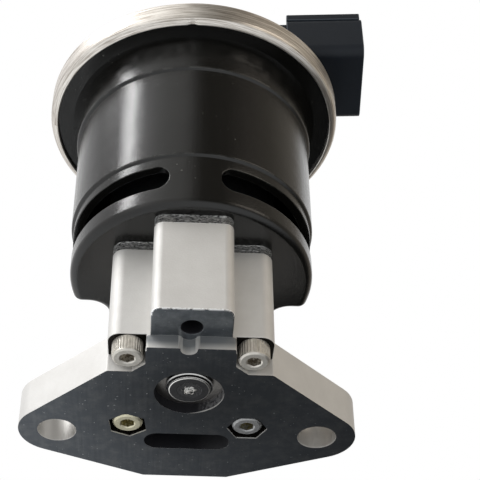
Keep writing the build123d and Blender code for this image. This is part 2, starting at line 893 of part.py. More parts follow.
# ---- Guide disc that closes the sensor chamber and carries the plunger.
with BuildPart() as sensor_guide:
    with BuildSketch(level(sensor_floor)):
        Circle(chamber_bore)
        Circle(plunger_radius + running_clearance, mode=Mode.SUBTRACT)
    extrude(amount=guide_disc_thickness)
write(sensor_guide, "sensor_guide")

# ---- Sensor plunger with its carrier, resting on the tip of the stem.
with BuildPart() as sensor_plunger:
    with BuildSketch(level(stem_top + plunger_gap)):
        Circle(plunger_radius)
    extrude(amount=carrier_bottom - stem_top - plunger_gap)
    with BuildSketch(level(carrier_bottom)):
        Circle(carrier_radius)
    extrude(amount=carrier_thickness)
write(sensor_plunger, "sensor_plunger")

with BuildPart() as wiper:
    with BuildSketch(connector_level(carrier_top)):
        with Locations(((board_face - board_gap) / 2, 0)):
            Rectangle(board_face - board_gap, wiper_width)
        Circle(sensor_spring_radius + sensor_wire_radius + board_gap, mode=Mode.SUBTRACT)
    extrude(amount=wiper_thickness)
write(wiper, "wiper")

# ---- Light spring that keeps the plunger down on the stem.
sensor_spring = coil_spring(
    carrier_top, sensor_roof, sensor_spring_radius, sensor_wire_radius, sensor_spring_turns,
)
write(sensor_spring, "sensor_spring")
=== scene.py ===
import math

import bmesh
import bpy
from mathutils import Matrix, Vector, noise


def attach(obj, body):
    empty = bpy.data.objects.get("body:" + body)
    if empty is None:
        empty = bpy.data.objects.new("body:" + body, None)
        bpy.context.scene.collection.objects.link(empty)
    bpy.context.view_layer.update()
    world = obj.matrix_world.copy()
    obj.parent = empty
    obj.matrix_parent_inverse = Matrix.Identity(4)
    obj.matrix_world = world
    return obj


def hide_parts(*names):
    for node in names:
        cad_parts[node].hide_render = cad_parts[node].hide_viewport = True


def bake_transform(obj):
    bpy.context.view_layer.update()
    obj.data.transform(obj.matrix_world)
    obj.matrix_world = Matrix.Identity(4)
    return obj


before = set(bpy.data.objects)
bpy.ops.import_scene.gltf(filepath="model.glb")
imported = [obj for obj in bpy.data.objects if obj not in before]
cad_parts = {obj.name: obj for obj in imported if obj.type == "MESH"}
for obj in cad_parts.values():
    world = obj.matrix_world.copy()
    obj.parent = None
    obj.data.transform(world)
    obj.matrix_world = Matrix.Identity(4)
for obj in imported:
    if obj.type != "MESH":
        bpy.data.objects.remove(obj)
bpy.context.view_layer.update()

# ---- Cast body
# The base is a pressure die casting in aluminium alloy: a flange with two stud holes, two screw
# columns, a front boss and the gas way. The die rounds its edges by a third of a millimetre. It is
# blasted to a pale satin skin; then its mating face is milled and the foot of its boss is sawn.
mm = 0.001
stem = Vector((0.0, -16.2 * mm, 0.0))
body_edge = 0.35 * mm
milled_edge_height = 0.05 * mm
skin_light = "#EDECEA"
skin_dark = "#DAD8D5"
# Painted shade: the milled face and the sawn foot below are coloured dark, worn patches included.
shaded_milled_face = "#565A5F"
worn_shaded_face = "#6C6E70"
shaded_sawn_foot = "#71767B"
worn_shaded_foot = "#94989B"
bare_fleck = "#A6A8AA"
thick_soot = "#3A3A3E"
thin_soot = "#8E8E90"
pocket_shade = "#25221F"
bored_wall_with_shade = "#D2D0CD"
boss_shade_colour = "#A4A6A8"
bright_burr = "#FFFFFF"
milled_height = 4.2 * mm
foot_height = 3.0 * mm
mouth_height = 0.3 * mm
gradient_near = 9.0 * mm
gradient_far = 30.0 * mm
port_reach = 7.85 * mm
port_rim_left = 0.02 * mm
port_rim_right = 0.34 * mm
port_rim_turn = 4.0 * mm
soot_thick_x = 2.0 * mm
soot_thin_x = 7.0 * mm
near_pocket = Vector((13.7, -28.0, 0)) * mm
near_pocket_reach = 5.9 * mm
far_pocket = Vector((13.7, -2.8, 0)) * mm
far_pocket_reach = 4.8 * mm
pocket_roof = 4.5 * mm
stud_hole = Vector((30.0, 0, 0)) * mm
stud_hole_reach = 4.6 * mm
groove_x = -0.5 * mm
groove_radius = 1.85 * mm
groove_rim_half = 0.5 * mm
tongue_low = Vector((-9.65, -60.0, -1.0)) * mm
tongue_high = Vector((9.65, -30.4, 4.0)) * mm
tongue_shade_low = 0.5 * mm
tongue_shade_high = 2.2 * mm
burr_front = -38.5 * mm
slot_low = Vector((-10.05, 0.05, -1.0)) * mm
slot_high = Vector((10.05, 6.55, 14.2)) * mm
drain_hole = Vector((0, -35.0, 0)) * mm
drain_reach = 2.45 * mm
blast_grain = 0.4
ragged_width = 0.7
cloud_width = 7.0
patch_width = 4.0
mill_pitch = 0.8
mill_run = 24.0
mill_turn = math.radians(12)
fleck_spacing = 1.2
relief_depth = 0.12 * mm


def linear(code):
    """An sRGB hex colour as the linear RGBA that a shader takes."""
    parts = [int(code[i:i + 2], 16) / 255 for i in (1, 3, 5)]
    return [c / 12.92 if c <= 0.04045 else ((c + 0.055) / 1.055) ** 2.4 for c in parts] + [1.0]


def per_mm(size):
    """The texture scale at which a pattern's features are this many millimetres wide."""
    return 1000.0 / size


def give(tree, socket, value):
    """Gives a socket its plain value or its link. A node stands for its first output in use."""
    if isinstance(value, bpy.types.Node):
        value = next(output for output in value.outputs if output.enabled)
    if isinstance(value, bpy.types.NodeSocket):
        tree.links.new(value, socket)
    else:
        socket.default_value = value


def add(tree, kind, inputs=None, **settings):
    """Adds one node with its settings, and gives each listed input its value or its link."""
    fresh = tree.nodes.new(kind)
    for name, value in settings.items():
        setattr(fresh, name, value)
    for socket, value in (inputs or {}).items():
        give(tree, fresh.inputs[socket], value)
    return fresh


def lead_in(tree, shader, **patterns):
    """Gives a finish's shader its values and its patterns, by the names of its sockets."""
    for socket, pattern in patterns.items():
        give(tree, shader.inputs[socket.replace("_", " ")], pattern)


def new_finish(name, **constants):
    """A material with a Principled shader whose plain sockets are set here; gives its tree, its
    shader and the place of each point on the piece."""
    finish = bpy.data.materials.new(name)
    finish.use_nodes = True
    tree = finish.node_tree
    tree.nodes.clear()
    shader = add(tree, "ShaderNodeBsdfPrincipled")
    lead_in(tree, shader, **constants)
    add(tree, "ShaderNodeOutputMaterial", {"Surface": shader})
    place = add(tree, "ShaderNodeTexCoord").outputs["Object"]
    return finish, tree, shader, place


def joined(tree, how, first, *others):
    """Joins masks: MULTIPLY holds where all of them hold, MAXIMUM where any of them does, and
    MINIMUM as far as the least of them does."""
    for other in others:
        first = add(tree, "ShaderNodeMath", {0: first, 1: other}, operation=how)
    return first


def overlaid(tree, base, *layers):
    """Lays colours over a base, each as far as its mask says. A colour is a hex code or another
    pattern."""
    for mask, colour in layers:
        under, over = (linear(c) if isinstance(c, str) else c for c in (base, colour))
        base = add(tree, "ShaderNodeMix", {0: mask, 6: under, 7: over}, data_type="RGBA")
    return base


def off_axis(tree, place, centre):
    """How far a point lies from an upright axis."""
    flat = add(tree, "ShaderNodeVectorMath", {0: place, 1: (1, 1, 0)}, operation="MULTIPLY")
    return add(
        tree, "ShaderNodeVectorMath", {0: flat, 1: (centre.x, centre.y, 0)}, operation="DISTANCE",
    )


def within(tree, place, centre, reach):
    """One where a point lies nearer to an upright axis than the reach, and nought elsewhere."""
    gap = off_axis(tree, place, centre)
    return add(tree, "ShaderNodeMath", {0: gap, 1: reach}, operation="LESS_THAN")


def in_box(tree, place, low, high):
    """One inside the upright box between two corners, and nought outside it."""
    past_low = add(tree, "ShaderNodeVectorMath", {0: place, 1: low}, operation="SUBTRACT")
    to_high = add(tree, "ShaderNodeVectorMath", {0: high, 1: place}, operation="SUBTRACT")
    inner = add(tree, "ShaderNodeVectorMath", {0: past_low, 1: to_high}, operation="MINIMUM")
    depths = add(tree, "ShaderNodeSeparateXYZ", {"Vector": inner}).outputs
    least = joined(tree, "MINIMUM", depths["X"], depths["Y"], depths["Z"])
    return add(tree, "ShaderNodeMath", {0: least, 1: 0.0}, operation="GREATER_THAN")


def folded_over(tree, place):
    """A point's place with the left half of the valve folded over on the right."""
    parts = add(tree, "ShaderNodeSeparateXYZ", {"Vector": place}).outputs
    across = add(tree, "ShaderNodeMath", {0: parts["X"]}, operation="ABSOLUTE")
    return add(tree, "ShaderNodeCombineXYZ", {"X": across, "Y": parts["Y"], "Z": parts["Z"]})


def merged(node_name, weld=0.002 * mm, level=math.radians(0.6)):
    """A copy of a CAD node's mesh with its loose triangles joined and its flat faces made whole."""
    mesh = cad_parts[node_name].data.copy()
    work = bmesh.new()
    work.from_mesh(mesh)
    bmesh.ops.remove_doubles(work, verts=work.verts, dist=weld)
    bmesh.ops.dissolve_limit(
        work, angle_limit=level, verts=work.verts, edges=work.edges, delimit={"NORMAL"},
    )
    work.to_mesh(mesh)
    work.free()
    return mesh


def in_scene(name, mesh):
    """An object at the origin that carries a mesh whose place is in its points."""
    piece = bpy.data.objects.new(name, mesh)
    bpy.context.scene.collection.objects.link(piece)
    return piece


def settled(piece):
    """Applies a piece's modifiers and leaves it a plain mesh."""
    bpy.context.view_layer.update()
    graph = bpy.context.evaluated_depsgraph_get()
    mesh = bpy.data.meshes.new_from_object(piece.evaluated_get(graph))
    piece.modifiers.clear()
    piece.data = mesh
    return piece


def broken_edges(piece, width, angle=32, steps=2, sharp_below=None):
    """Rounds the outer edges that are sharper than the angle, as the die or the tool leaves them,
    except those that lie wholly under a height, and marks the new faces for wear and for painted
    highlights."""
    work = bmesh.new()
    work.from_mesh(piece.data)
    weight = work.edges.layers.float.new("bevel_weight_edge")
    for edge in work.edges:
        kept = sharp_below is not None and max(v.co.z for v in edge.verts) < sharp_below
        if edge.calc_face_angle(0.0) > math.radians(angle) and edge.is_convex and not kept:
            edge[weight] = 1.0
    work.to_mesh(piece.data)
    work.free()
    piece.data.materials.clear()
    for _ in range(2):
        piece.data.materials.append(None)
    bevel = piece.modifiers.new("edges", "BEVEL")
    bevel.width = width
    bevel.segments = steps
    bevel.limit_method = "WEIGHT"
    bevel.use_clamp_overlap = False
    bevel.material = 1
    settled(piece)
    rounded_edge = piece.data.attributes.new("rounded_edge", "FLOAT", "FACE")
    for face in piece.data.polygons:
        rounded_edge.data[face.index].value = float(face.material_index)
        face.material_index = 0
    return piece


def true_normals(piece, axis=None, crease=34, skew=0.12):
    """Shades a piece from its real surface: faces blend across edges under the crease, weighted by
    size. On a turned piece each corner's normal swings round the axis with its corner, on the
    faces that look straight away from the axis but for the skew."""
    no_length = 1e-7
    no_weight = 1e-14
    mesh = piece.data
    mesh.polygons.foreach_set("use_smooth", [True] * len(mesh.polygons))
    limit = math.cos(math.radians(crease))
    corners = [None] * len(mesh.loops)
    at_point = {}
    for face in mesh.polygons:
        turned = False
        if axis is not None:
            out = Vector((face.center.x - axis.x, face.center.y - axis.y, 0))
            if out.length > no_length:
                out.normalize()
                turned = abs(face.normal.x * out.y - face.normal.y * out.x) < skew
        for loop in face.loop_indices:
            point = mesh.loops[loop].vertex_index
            facing = face.normal.copy()
            if turned:
                away = mesh.vertices[point].co - axis
                away.z = 0
                if away.length > no_length:
                    away.normalize()
                    facing = away * face.normal.dot(out) + Vector((0, 0, face.normal.z))
                    facing.normalize()
            corners[loop] = (point, facing)
            at_point.setdefault(point, []).append((facing, face.area))
    normals = []
    for point, facing in corners:
        total = Vector((0, 0, 0))
        for other, weight in at_point[point]:
            if other.dot(facing) > limit:
                total += other * weight
        normals.append(total.normalized() if total.length > no_weight else facing)
    mesh.normals_split_custom_set(normals)
    return piece


def coated(piece, finish):
    """Gives a piece one finish all over."""
    piece.data.materials.clear()
    piece.data.materials.append(finish)


def belongs(piece, finish, slot_name, body, *nodes):
    """Gives a piece its finish and its body, and hides the CAD nodes it stands for. The slot name
    is not used.
    """
    coated(piece, finish)
    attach(piece, body)
    if nodes:
        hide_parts(*nodes)


# Blasted die-cast aluminium: a pale grey metal, satin, faintly clouded where the melt flowed, with
# a grain of under half a millimetre. The mating face and the boss's foot are cut, and their colour
# is painted dark as painted shade on these downward faces: they show shallow tool marks, worn
# patches and flecks of bare metal instead.
cast_aluminium, tree, shader, place = new_finish("blasted cast aluminium", Metallic=1.0)
facing = add(
    tree, "ShaderNodeSeparateXYZ", {"Vector": add(tree, "ShaderNodeTexCoord").outputs["Normal"]},
).outputs
at = add(tree, "ShaderNodeSeparateXYZ", {"Vector": place}).outputs
height = at["Z"]
ragged = add(
    tree, "ShaderNodeTexNoise", {"Vector": place, "Scale": per_mm(ragged_width), "Detail": 3.0},
)
edge_wander = add(tree, "ShaderNodeMapRange", {"Value": ragged, "To Min": -0.95, "To Max": -0.7})
faces_down = add(tree, "ShaderNodeMath", {0: facing["Z"], 1: edge_wander}, operation="LESS_THAN")
low = add(tree, "ShaderNodeMath", {0: height, 1: milled_height}, operation="LESS_THAN")
on_face = joined(tree, "MULTIPLY", faces_down, low)
clouds = add(
    tree, "ShaderNodeTexNoise",
    {"Vector": place, "Scale": per_mm(cloud_width), "Detail": 4.0, "Roughness": 0.6},
)
skin = overlaid(tree, skin_dark, (clouds, skin_light))
patches = add(
    tree, "ShaderNodeTexNoise",
    {"Vector": place, "Scale": per_mm(patch_width), "Detail": 6.0, "Roughness": 0.7},
)
rim_edge = add(tree, "ShaderNodeMapRange", {"Value": patches, "From Min": 0.45, "From Max": 0.75})
on_foot = add(tree, "ShaderNodeMath", {0: height, 1: foot_height}, operation="GREATER_THAN")
shaded_cut = overlaid(tree, shaded_milled_face, (on_foot, shaded_sawn_foot))
worn_shaded_cut = overlaid(tree, worn_shaded_face, (on_foot, worn_shaded_foot))
milled = overlaid(tree, shaded_cut, (rim_edge, worn_shaded_cut))
# The face is painted darker round the port and lighter further out.
port_gradient = add(
    tree, "ShaderNodeMapRange",
    {"Value": off_axis(tree, place, stem), "From Min": gradient_near, "From Max": gradient_far,
     "To Min": 0.68, "To Max": 1.22},
)
milled = add(
    tree, "ShaderNodeMix", {0: 1.0, 6: milled, 7: port_gradient}, data_type="RGBA", blend_type="MULTIPLY",
)
fleck_distance = add(
    tree, "ShaderNodeTexVoronoi", {"Vector": place, "Scale": per_mm(fleck_spacing)},
)
fleck_limit = add(
    tree, "ShaderNodeMapRange",
    {"Value": ragged, "From Min": 0.45, "From Max": 0.75, "To Max": 0.26},
)
fleck = add(tree, "ShaderNodeMath", {0: fleck_distance, 1: fleck_limit}, operation="LESS_THAN")
flecked = overlaid(tree, milled, (fleck, bare_fleck))
# Exhaust soot blackens the gas way: the port, the outlet slot and the small drain hole.
in_slot = in_box(tree, place, slot_low, slot_high)
in_port = within(tree, place, stem, port_reach)
in_drain = within(tree, place, drain_hole, drain_reach)
in_gas = joined(tree, "MAXIMUM", in_slot, in_port, in_drain)
# Painted highlight: on the right of the port the mouth's rim is kept clear of the soot and bright,
# as a highlight on its edge.
highlight_rim_height = add(
    tree, "ShaderNodeMapRange",
    {"Value": at["X"], "From Max": port_rim_turn, "To Min": port_rim_left,
     "To Max": port_rim_right},
)
rim_height = add(
    tree, "ShaderNodeMix", {0: in_port, 2: port_rim_left, 3: highlight_rim_height}, data_type="FLOAT",
)
past_rim = add(tree, "ShaderNodeMath", {0: height, 1: rim_height}, operation="GREATER_THAN")
sooted = joined(tree, "MULTIPLY", in_gas, past_rim)
# The soot is painted lighter towards the right.
soot_lightening = add(
    tree, "ShaderNodeMapRange",
    {"Value": at["X"], "From Min": soot_thick_x, "From Max": soot_thin_x},
)
flaked = add(
    tree, "ShaderNodeMapRange",
    {"Value": ragged, "From Min": 0.4, "From Max": 0.62, "To Min": 0.35, "To Max": 1.9},
)
flaked = add(tree, "ShaderNodeMix", {0: in_port, 2: 0.25, 3: flaked}, data_type="FLOAT")
thinned = joined(tree, "MULTIPLY", soot_lightening, flaked)
soot = overlaid(tree, thick_soot, (thinned, thin_soot))
# Painted shade fills the screw pockets above their mouths, but not the near pair's walls that look
# to the front, where light falls. The stud holes are bored, which is smoother than the blasted
# skin, and their walls are a little darker as painted shade.
one_side = folded_over(tree, place)
in_near = within(tree, one_side, near_pocket, near_pocket_reach)
in_far = within(tree, one_side, far_pocket, far_pocket_reach)
in_stud = within(tree, one_side, stud_hole, stud_hole_reach)
past_mouth = add(tree, "ShaderNodeMath", {0: height, 1: mouth_height}, operation="GREATER_THAN")
off_front = add(tree, "ShaderNodeMath", {0: facing["Y"], 1: -0.5}, operation="GREATER_THAN")
under_roof = add(tree, "ShaderNodeMath", {0: height, 1: pocket_roof}, operation="LESS_THAN")
shaded_pockets = joined(tree, "MAXIMUM", joined(tree, "MULTIPLY", in_near, off_front), in_far)
shaded_pockets = joined(tree, "MULTIPLY", shaded_pockets, past_mouth, under_roof)
bored = joined(tree, "MULTIPLY", in_stud, past_mouth)
# Painted shade: the tongue's front wall, under the boss, is painted dull towards the boss, and left
# bright at its lower edge and at the groove.
on_tongue = in_box(tree, place, tongue_low, tongue_high)
up_tongue = add(
    tree, "ShaderNodeMapRange",
    {"Value": height, "From Min": tongue_shade_low, "From Max": tongue_shade_high},
)
from_groove = add(tree, "ShaderNodeMath", {0: at["X"], 1: groove_x}, operation="SUBTRACT")
from_groove = add(tree, "ShaderNodeMath", {0: from_groove}, operation="ABSOLUTE")
groove_rim = add(
    tree, "ShaderNodeMath", {0: from_groove, 1: groove_radius, 2: groove_rim_half},
    operation="COMPARE",
)
off_groove = add(tree, "ShaderNodeMath", {0: 1.0, 1: groove_rim}, operation="SUBTRACT")
shade_under_boss = joined(tree, "MULTIPLY", on_tongue, up_tongue, off_groove)
# The saw left a ragged bright burr along the edge of the boss's foot.
edge = add(tree, "ShaderNodeAttribute", attribute_name="rounded_edge").outputs["Fac"]
before_boss = add(tree, "ShaderNodeMath", {0: at["Y"], 1: burr_front}, operation="LESS_THAN")
torn = add(tree, "ShaderNodeMath", {0: ragged, 1: 0.47}, operation="GREATER_THAN")
burred = joined(tree, "MULTIPLY", edge, before_boss, torn)
base = overlaid(
    tree, skin, (on_face, flecked), (shade_under_boss, boss_shade_colour), (bored, bored_wall_with_shade), (shaded_pockets, pocket_shade),
    (sooted, soot), (burred, bright_burr),
)
# The blasted skin is grained; the cut faces have the tool's faint, slightly oblique marks.
grain = add(
    tree, "ShaderNodeTexNoise",
    {"Vector": place, "Scale": per_mm(blast_grain), "Detail": 3.0, "Roughness": 0.65},
)
along_cutter = add(
    tree, "ShaderNodeMapping",
    {"Vector": place, "Rotation": (0, 0, mill_turn),
     "Scale": (per_mm(mill_pitch), per_mm(mill_run), per_mm(mill_run))},
)
cutter_marks = add(
    tree, "ShaderNodeTexNoise", {"Vector": along_cutter, "Scale": 1.0, "Detail": 3.0},
)
relief = add(tree, "ShaderNodeMix", {0: on_face, 2: grain, 3: cutter_marks}, data_type="FLOAT")
depth = add(tree, "ShaderNodeMapRange", {"Value": on_face, "To Min": 0.32, "To Max": 0.12})
bump = add(tree, "ShaderNodeBump", {"Height": relief, "Strength": depth, "Distance": relief_depth})
skin_gloss = add(tree, "ShaderNodeMapRange", {"Value": clouds, "To Min": 0.7, "To Max": 0.6})
gloss = add(tree, "ShaderNodeMix", {0: on_face, 2: skin_gloss, 3: 0.32}, data_type="FLOAT")
gloss = add(tree, "ShaderNodeMix", {0: bored, 2: gloss, 3: 0.5}, data_type="FLOAT")
lead_in(tree, shader, Base_Color=base, Roughness=gloss, Normal=bump)

cast_base = in_scene("cast_base", merged("valve_body"))
broken_edges(cast_base, body_edge, sharp_below=milled_edge_height)
# The milling cuts off whatever stood below the mating face.
for point in cast_base.data.vertices:
    point.co.z = max(point.co.z, 0.0)
true_normals(cast_base)
belongs(cast_base, cast_aluminium, "cast_aluminium", "root", "valve_body")

# ---- Seat and stem guide
# The seat is a ring turned from heat-resisting steel and pressed into the port; the guide is a
# sintered bronze bush above it. The rubber lip seal over the bush keeps the gas out of the coil.
pore_width = 0.35


def worked(tree, shader, pattern, tones=None, over=(), rough=None, relief=None):
    """Leads a pattern into a finish. Its tone runs between the two tones, with other colours laid
    over it where their masks say; its roughness runs between two values; and its relief has a
    strength and a height. What isn't given is left as it is."""
    if tones is not None:
        tint = overlaid(tree, tones[0], (pattern, tones[1]), *over)
        lead_in(tree, shader, Base_Color=tint)
    if rough is not None:
        gloss = add(
            tree, "ShaderNodeMapRange", {"Value": pattern, "To Min": rough[0], "To Max": rough[1]},
        )
        lead_in(tree, shader, Roughness=gloss)
    if relief is not None:
        bump = add(
            tree, "ShaderNodeBump",
            {"Height": pattern, "Strength": relief[0], "Distance": relief[1]},
        )
        lead_in(tree, shader, Normal=bump)


def patchy_finish(name, patch, tones, detail=4.0, relief=None, **constants):
    """A finish whose tone wanders in patches, so many millimetres wide, over the piece."""
    finish, tree, shader, place = new_finish(name, **constants)
    patches = add(
        tree, "ShaderNodeTexNoise", {"Vector": place, "Scale": per_mm(patch), "Detail": detail},
    )
    worked(tree, shader, patches, tones, relief=relief)
    return finish


seat_steel = patchy_finish(
    "turned heat-resisting steel", patch=0.5, tones=("#8C8884", "#A9A6A2"), detail=2.0,
    relief=(0.2, 0.05 * mm), Metallic=1.0, Roughness=0.36,
)
seat_ring = in_scene("seat_ring", merged("valve_seat"))
true_normals(seat_ring, stem)
belongs(seat_ring, seat_steel, "seat_steel", "root", "valve_seat")

sintered_bronze, tree, shader, place = new_finish("sintered bronze", Metallic=1.0, Roughness=0.45)
pores = add(tree, "ShaderNodeTexVoronoi", {"Vector": place, "Scale": per_mm(pore_width)})
worked(tree, shader, pores, tones=("#8A6A3C", "#B8935A"))
for node_name in ("stem_guide", "armature_sleeve"):
    coated(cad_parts[node_name], sintered_bronze)

seal_rubber = patchy_finish(
    "moulded nitrile rubber", patch=1.5, tones=("#141414", "#232323"), Roughness=0.7,
)
for node_name in ("stem_seal", "cap_seal"):
    coated(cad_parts[node_name], seal_rubber)

# ---- Gasket under the case
# A heat-insulating gasket of pressed graphite fibre between crimped steel foils. Squeezed by the
# four case screws, its cut edge comes out crumpled, dark fibre with bright turns of foil.
gasket_low = 28.6 * mm
gasket_high = 30.7 * mm
gasket_sink = 0.15 * mm
gasket_bore = 9.0 * mm
crumple = 0.32 * mm
crumple_mean = 0.5
crumple_wave = 0.9
crumple_fine = 0.35
crumple_step = 0.75 * mm
crumple_length = 0.9
wave_length = 1.1
fine_length = 0.5
fold_flatness = 4.5
wave_flatness = 2.0
cut_facing = 0.3

gasket_fibre, tree, shader, place = new_finish("graphite fibre and foil")
flattened = add(tree, "ShaderNodeMapping", {"Vector": place, "Scale": (1.0, 1.0, fold_flatness)})
folds = add(
    tree, "ShaderNodeTexNoise",
    {"Vector": flattened, "Scale": per_mm(crumple_length), "Detail": 5.0, "Roughness": 0.7},
)
foil = add(tree, "ShaderNodeMapRange", {"Value": folds, "From Min": 0.43, "From Max": 0.58})
worked(tree, shader, foil, tones=("#131416", "#BDBDBB"), rough=(0.85, 0.3))
worked(tree, shader, folds, relief=(0.8, 0.25 * mm))
lead_in(tree, shader, Metallic=foil)

crumpled_gasket = in_scene("crumpled_gasket", merged("body_gasket"))
work = bmesh.new()
work.from_mesh(crumpled_gasket.data)
bmesh.ops.triangulate(work, faces=work.faces)
for _ in range(3):
    long_edges = [e for e in work.edges if e.calc_length() > crumple_step]
    bmesh.ops.subdivide_edges(work, edges=long_edges, cuts=1)
    bmesh.ops.triangulate(work, faces=work.faces)
work.normal_update()
for point in work.verts:
    on_edge = gasket_low + gasket_sink < point.co.z < gasket_high - gasket_sink
    from_stem = (Vector((point.co.x, point.co.y, 0)) - stem).length
    if on_edge and from_stem > gasket_bore:
        out = Vector((point.normal.x, point.normal.y, 0))
        if out.length > cut_facing:
            flat = Vector((point.co.x, point.co.y, point.co.z * wave_flatness))
            wave = noise.noise(flat * per_mm(wave_length))
            fine = noise.noise(Vector(point.co) * per_mm(fine_length))
            share = crumple_mean + crumple_wave * wave + crumple_fine * fine
            point.co -= out.normalized() * crumple * share
work.to_mesh(crumpled_gasket.data)
work.free()
true_normals(crumpled_gasket)
belongs(crumpled_gasket, gasket_fibre, "gasket_fibre", "root", "body_gasket")

# ---- Case screws
# Four M4 socket-head screws, cold headed, with a straight knurl round the head and a hexagon
# socket. The near pair is dull steel and the far pair is plated: the left one has a yellow
# passivation, and the right one is a darker grey.
head_low = 0.4 * mm
head_high = 4.4 * mm
head_radius = 3.5 * mm
knurl_ribs = 34
knurl_height = 0.16 * mm
knurl_gap = 0.35 * mm
rib_radius = 1.35 * knurl_height
face_land = 0.45 * mm
land_rise = 0.7 * face_land
key_corner = 1.7 * mm
key_depth = 2.2 * mm
lead_radius = 1.08 * key_corner
lead_depth = 0.22 * mm
drill_tip = 0.5 * mm
socket_reach = 1.8 * mm
darkened_depth = 0.3 * mm
gloss_wander = 0.08
zinc_patch = 1.0
shank_radius = 2.0 * mm
shank_top = 37.1 * mm
screw_places = {
    "near_case_screws": [(-13.7 * mm, -28.0 * mm), (13.7 * mm, -28.0 * mm)],
    "far_case_screws": [(-13.7 * mm, -2.8 * mm), (13.7 * mm, -2.8 * mm)],
}


def steel_finish(
    name, dark, light, rough, patch, relief, where=None, other=None, dent=0.05 * mm,
):
    """A metal whose tone, gloss and level wander slightly in patches, as handling leaves it, and
    which takes another colour where a mask says, if one is given."""
    finish, tree, shader, place = new_finish(name, Metallic=1.0)
    wander = add(
        tree, "ShaderNodeTexNoise",
        {"Vector": place, "Scale": per_mm(patch), "Detail": 4.0, "Roughness": 0.65},
    )
    worked(
        tree, shader, wander, tones=(dark, light),
        over=[(where(tree, place, wander), other)] if where else [],
        rough=(rough + gloss_wander, rough - gloss_wander), relief=(relief, dent),
    )
    return finish


def grown(name, tree, sizes, material):
    """Runs a geometry tree with its sizes set, and keeps the result as a plain mesh."""
    carrier = in_scene(name, bpy.data.meshes.new(name))
    growth = carrier.modifiers.new("growth", "NODES")
    growth.node_group = tree
    for socket in tree.interface.items_tree:
        if socket.name in sizes:
            growth[socket.identifier] = sizes[socket.name]
        if socket.name == "Finish":
            growth[socket.identifier] = material
    return settled(carrier)


def new_growth(name, **sizes):
    """A geometry tree with one named input for each size and one for the finish, and what those
    inputs give."""
    tree = bpy.data.node_groups.new(name, "GeometryNodeTree")
    for size, kind in sizes.items():
        tree.interface.new_socket(size.replace("_", " "), in_out="INPUT", socket_type=kind)
    tree.interface.new_socket("Finish", in_out="INPUT", socket_type="NodeSocketMaterial")
    tree.interface.new_socket("Geometry", in_out="OUTPUT", socket_type="NodeSocketGeometry")
    given = add(tree, "NodeGroupInput").outputs
    return tree, given


def end_growth(tree, given, geometry):
    """Closes a geometry tree: instances made real, the finish set, and the result handed out."""
    real = add(tree, "GeometryNodeRealizeInstances", {"Geometry": geometry})
    dressed = add(tree, "GeometryNodeSetMaterial", {"Geometry": real, "Material": given["Finish"]})
    add(tree, "NodeGroupOutput", {"Geometry": dressed})


# One head's knurl: a ring of upright six-sided ribs, just over half sunk into the head.
knurl, given = new_growth(
    "straight knurl", Ribs="NodeSocketInt", Ring_Radius="NodeSocketFloat",
    Rib_Radius="NodeSocketFloat", Length="NodeSocketFloat", Middle="NodeSocketVector",
)
ring = add(
    knurl, "GeometryNodeMeshCircle", {"Vertices": given["Ribs"], "Radius": given["Ring Radius"]},
)
rib = add(
    knurl, "GeometryNodeMeshCylinder",
    {"Vertices": 6, "Side Segments": 1, "Radius": given["Rib Radius"], "Depth": given["Length"]},
)
ribs = add(knurl, "GeometryNodeInstanceOnPoints", {"Points": ring, "Instance": rib})
placed = add(knurl, "GeometryNodeTransform", {"Geometry": ribs, "Translation": given["Middle"]})
end_growth(knurl, given, placed)


def skinned(work, rows):
    """Joins closed rows of points, each to the next, with four-sided faces."""
    for here, there in zip(rows, rows[1:]):
        for k in range(len(here)):
            after = (k + 1) % len(here)
            work.faces.new((here[k], there[k], there[after], here[after]))


def outward_mesh(name, work):
    """The finished mesh, with its faces turned outward."""
    bmesh.ops.recalc_face_normals(work, faces=work.faces)
    mesh = bpy.data.meshes.new(name)
    work.to_mesh(mesh)
    work.free()
    return mesh


def screw_mesh(places, sides=48):
    """Socket-head screws: a chamfered head with a drilled hexagon socket, and a plain shank."""
    work = bmesh.new()
    core = head_radius - knurl_height
    flat = key_corner * math.cos(math.pi / 6)
    # From the socket's six walls out over the head and up the shank; no radius means the hexagon.
    outline = [
        (None, head_low + key_depth), (None, head_low + lead_depth), (lead_radius, head_low),
        (core - face_land, head_low), (core, head_low + land_rise), (core, head_high),
        (shank_radius, head_high), (shank_radius, shank_top),
    ]
    for x, y in places:
        rows = []
        for radius, z in outline:
            row = []
            for step in range(sides):
                angle = 2 * math.pi * step / sides
                from_flat = (angle + math.pi / 6) % (math.pi / 3) - math.pi / 6
                reach = radius or flat / math.cos(from_flat)
                point = (x + reach * math.cos(angle), y + reach * math.sin(angle), z)
                row.append(work.verts.new(point))
            rows.append(row)
        skinned(work, rows)
        tip = work.verts.new((x, y, head_low + key_depth + drill_tip))
        for step in range(sides):
            work.faces.new((rows[0][(step + 1) % sides], rows[0][step], tip))
        work.faces.new(rows[-1])
    return outward_mesh("screws", work)


def in_sockets(tree, place, wander):
    """One deep in the screws' sockets, in patches, where they are painted darker."""
    one_side = folded_over(tree, place)
    in_near = within(tree, one_side, near_pocket, socket_reach)
    in_far = within(tree, one_side, far_pocket, socket_reach)
    height = add(tree, "ShaderNodeSeparateXYZ", {"Vector": place}).outputs["Z"]
    deep = add(
        tree, "ShaderNodeMath", {0: height, 1: head_low + darkened_depth}, operation="GREATER_THAN",
    )
    patchy = add(tree, "ShaderNodeMapRange", {"Value": wander, "From Min": 0.56, "From Max": 0.46})
    return joined(tree, "MULTIPLY", joined(tree, "MAXIMUM", in_near, in_far), deep, patchy)


dull_steel = steel_finish(
    "dull cold-headed steel", dark="#B0ABA2", light="#F6F2EA", rough=0.45, patch=0.9, relief=0.6,
    where=in_sockets, other="#8E867A",
)
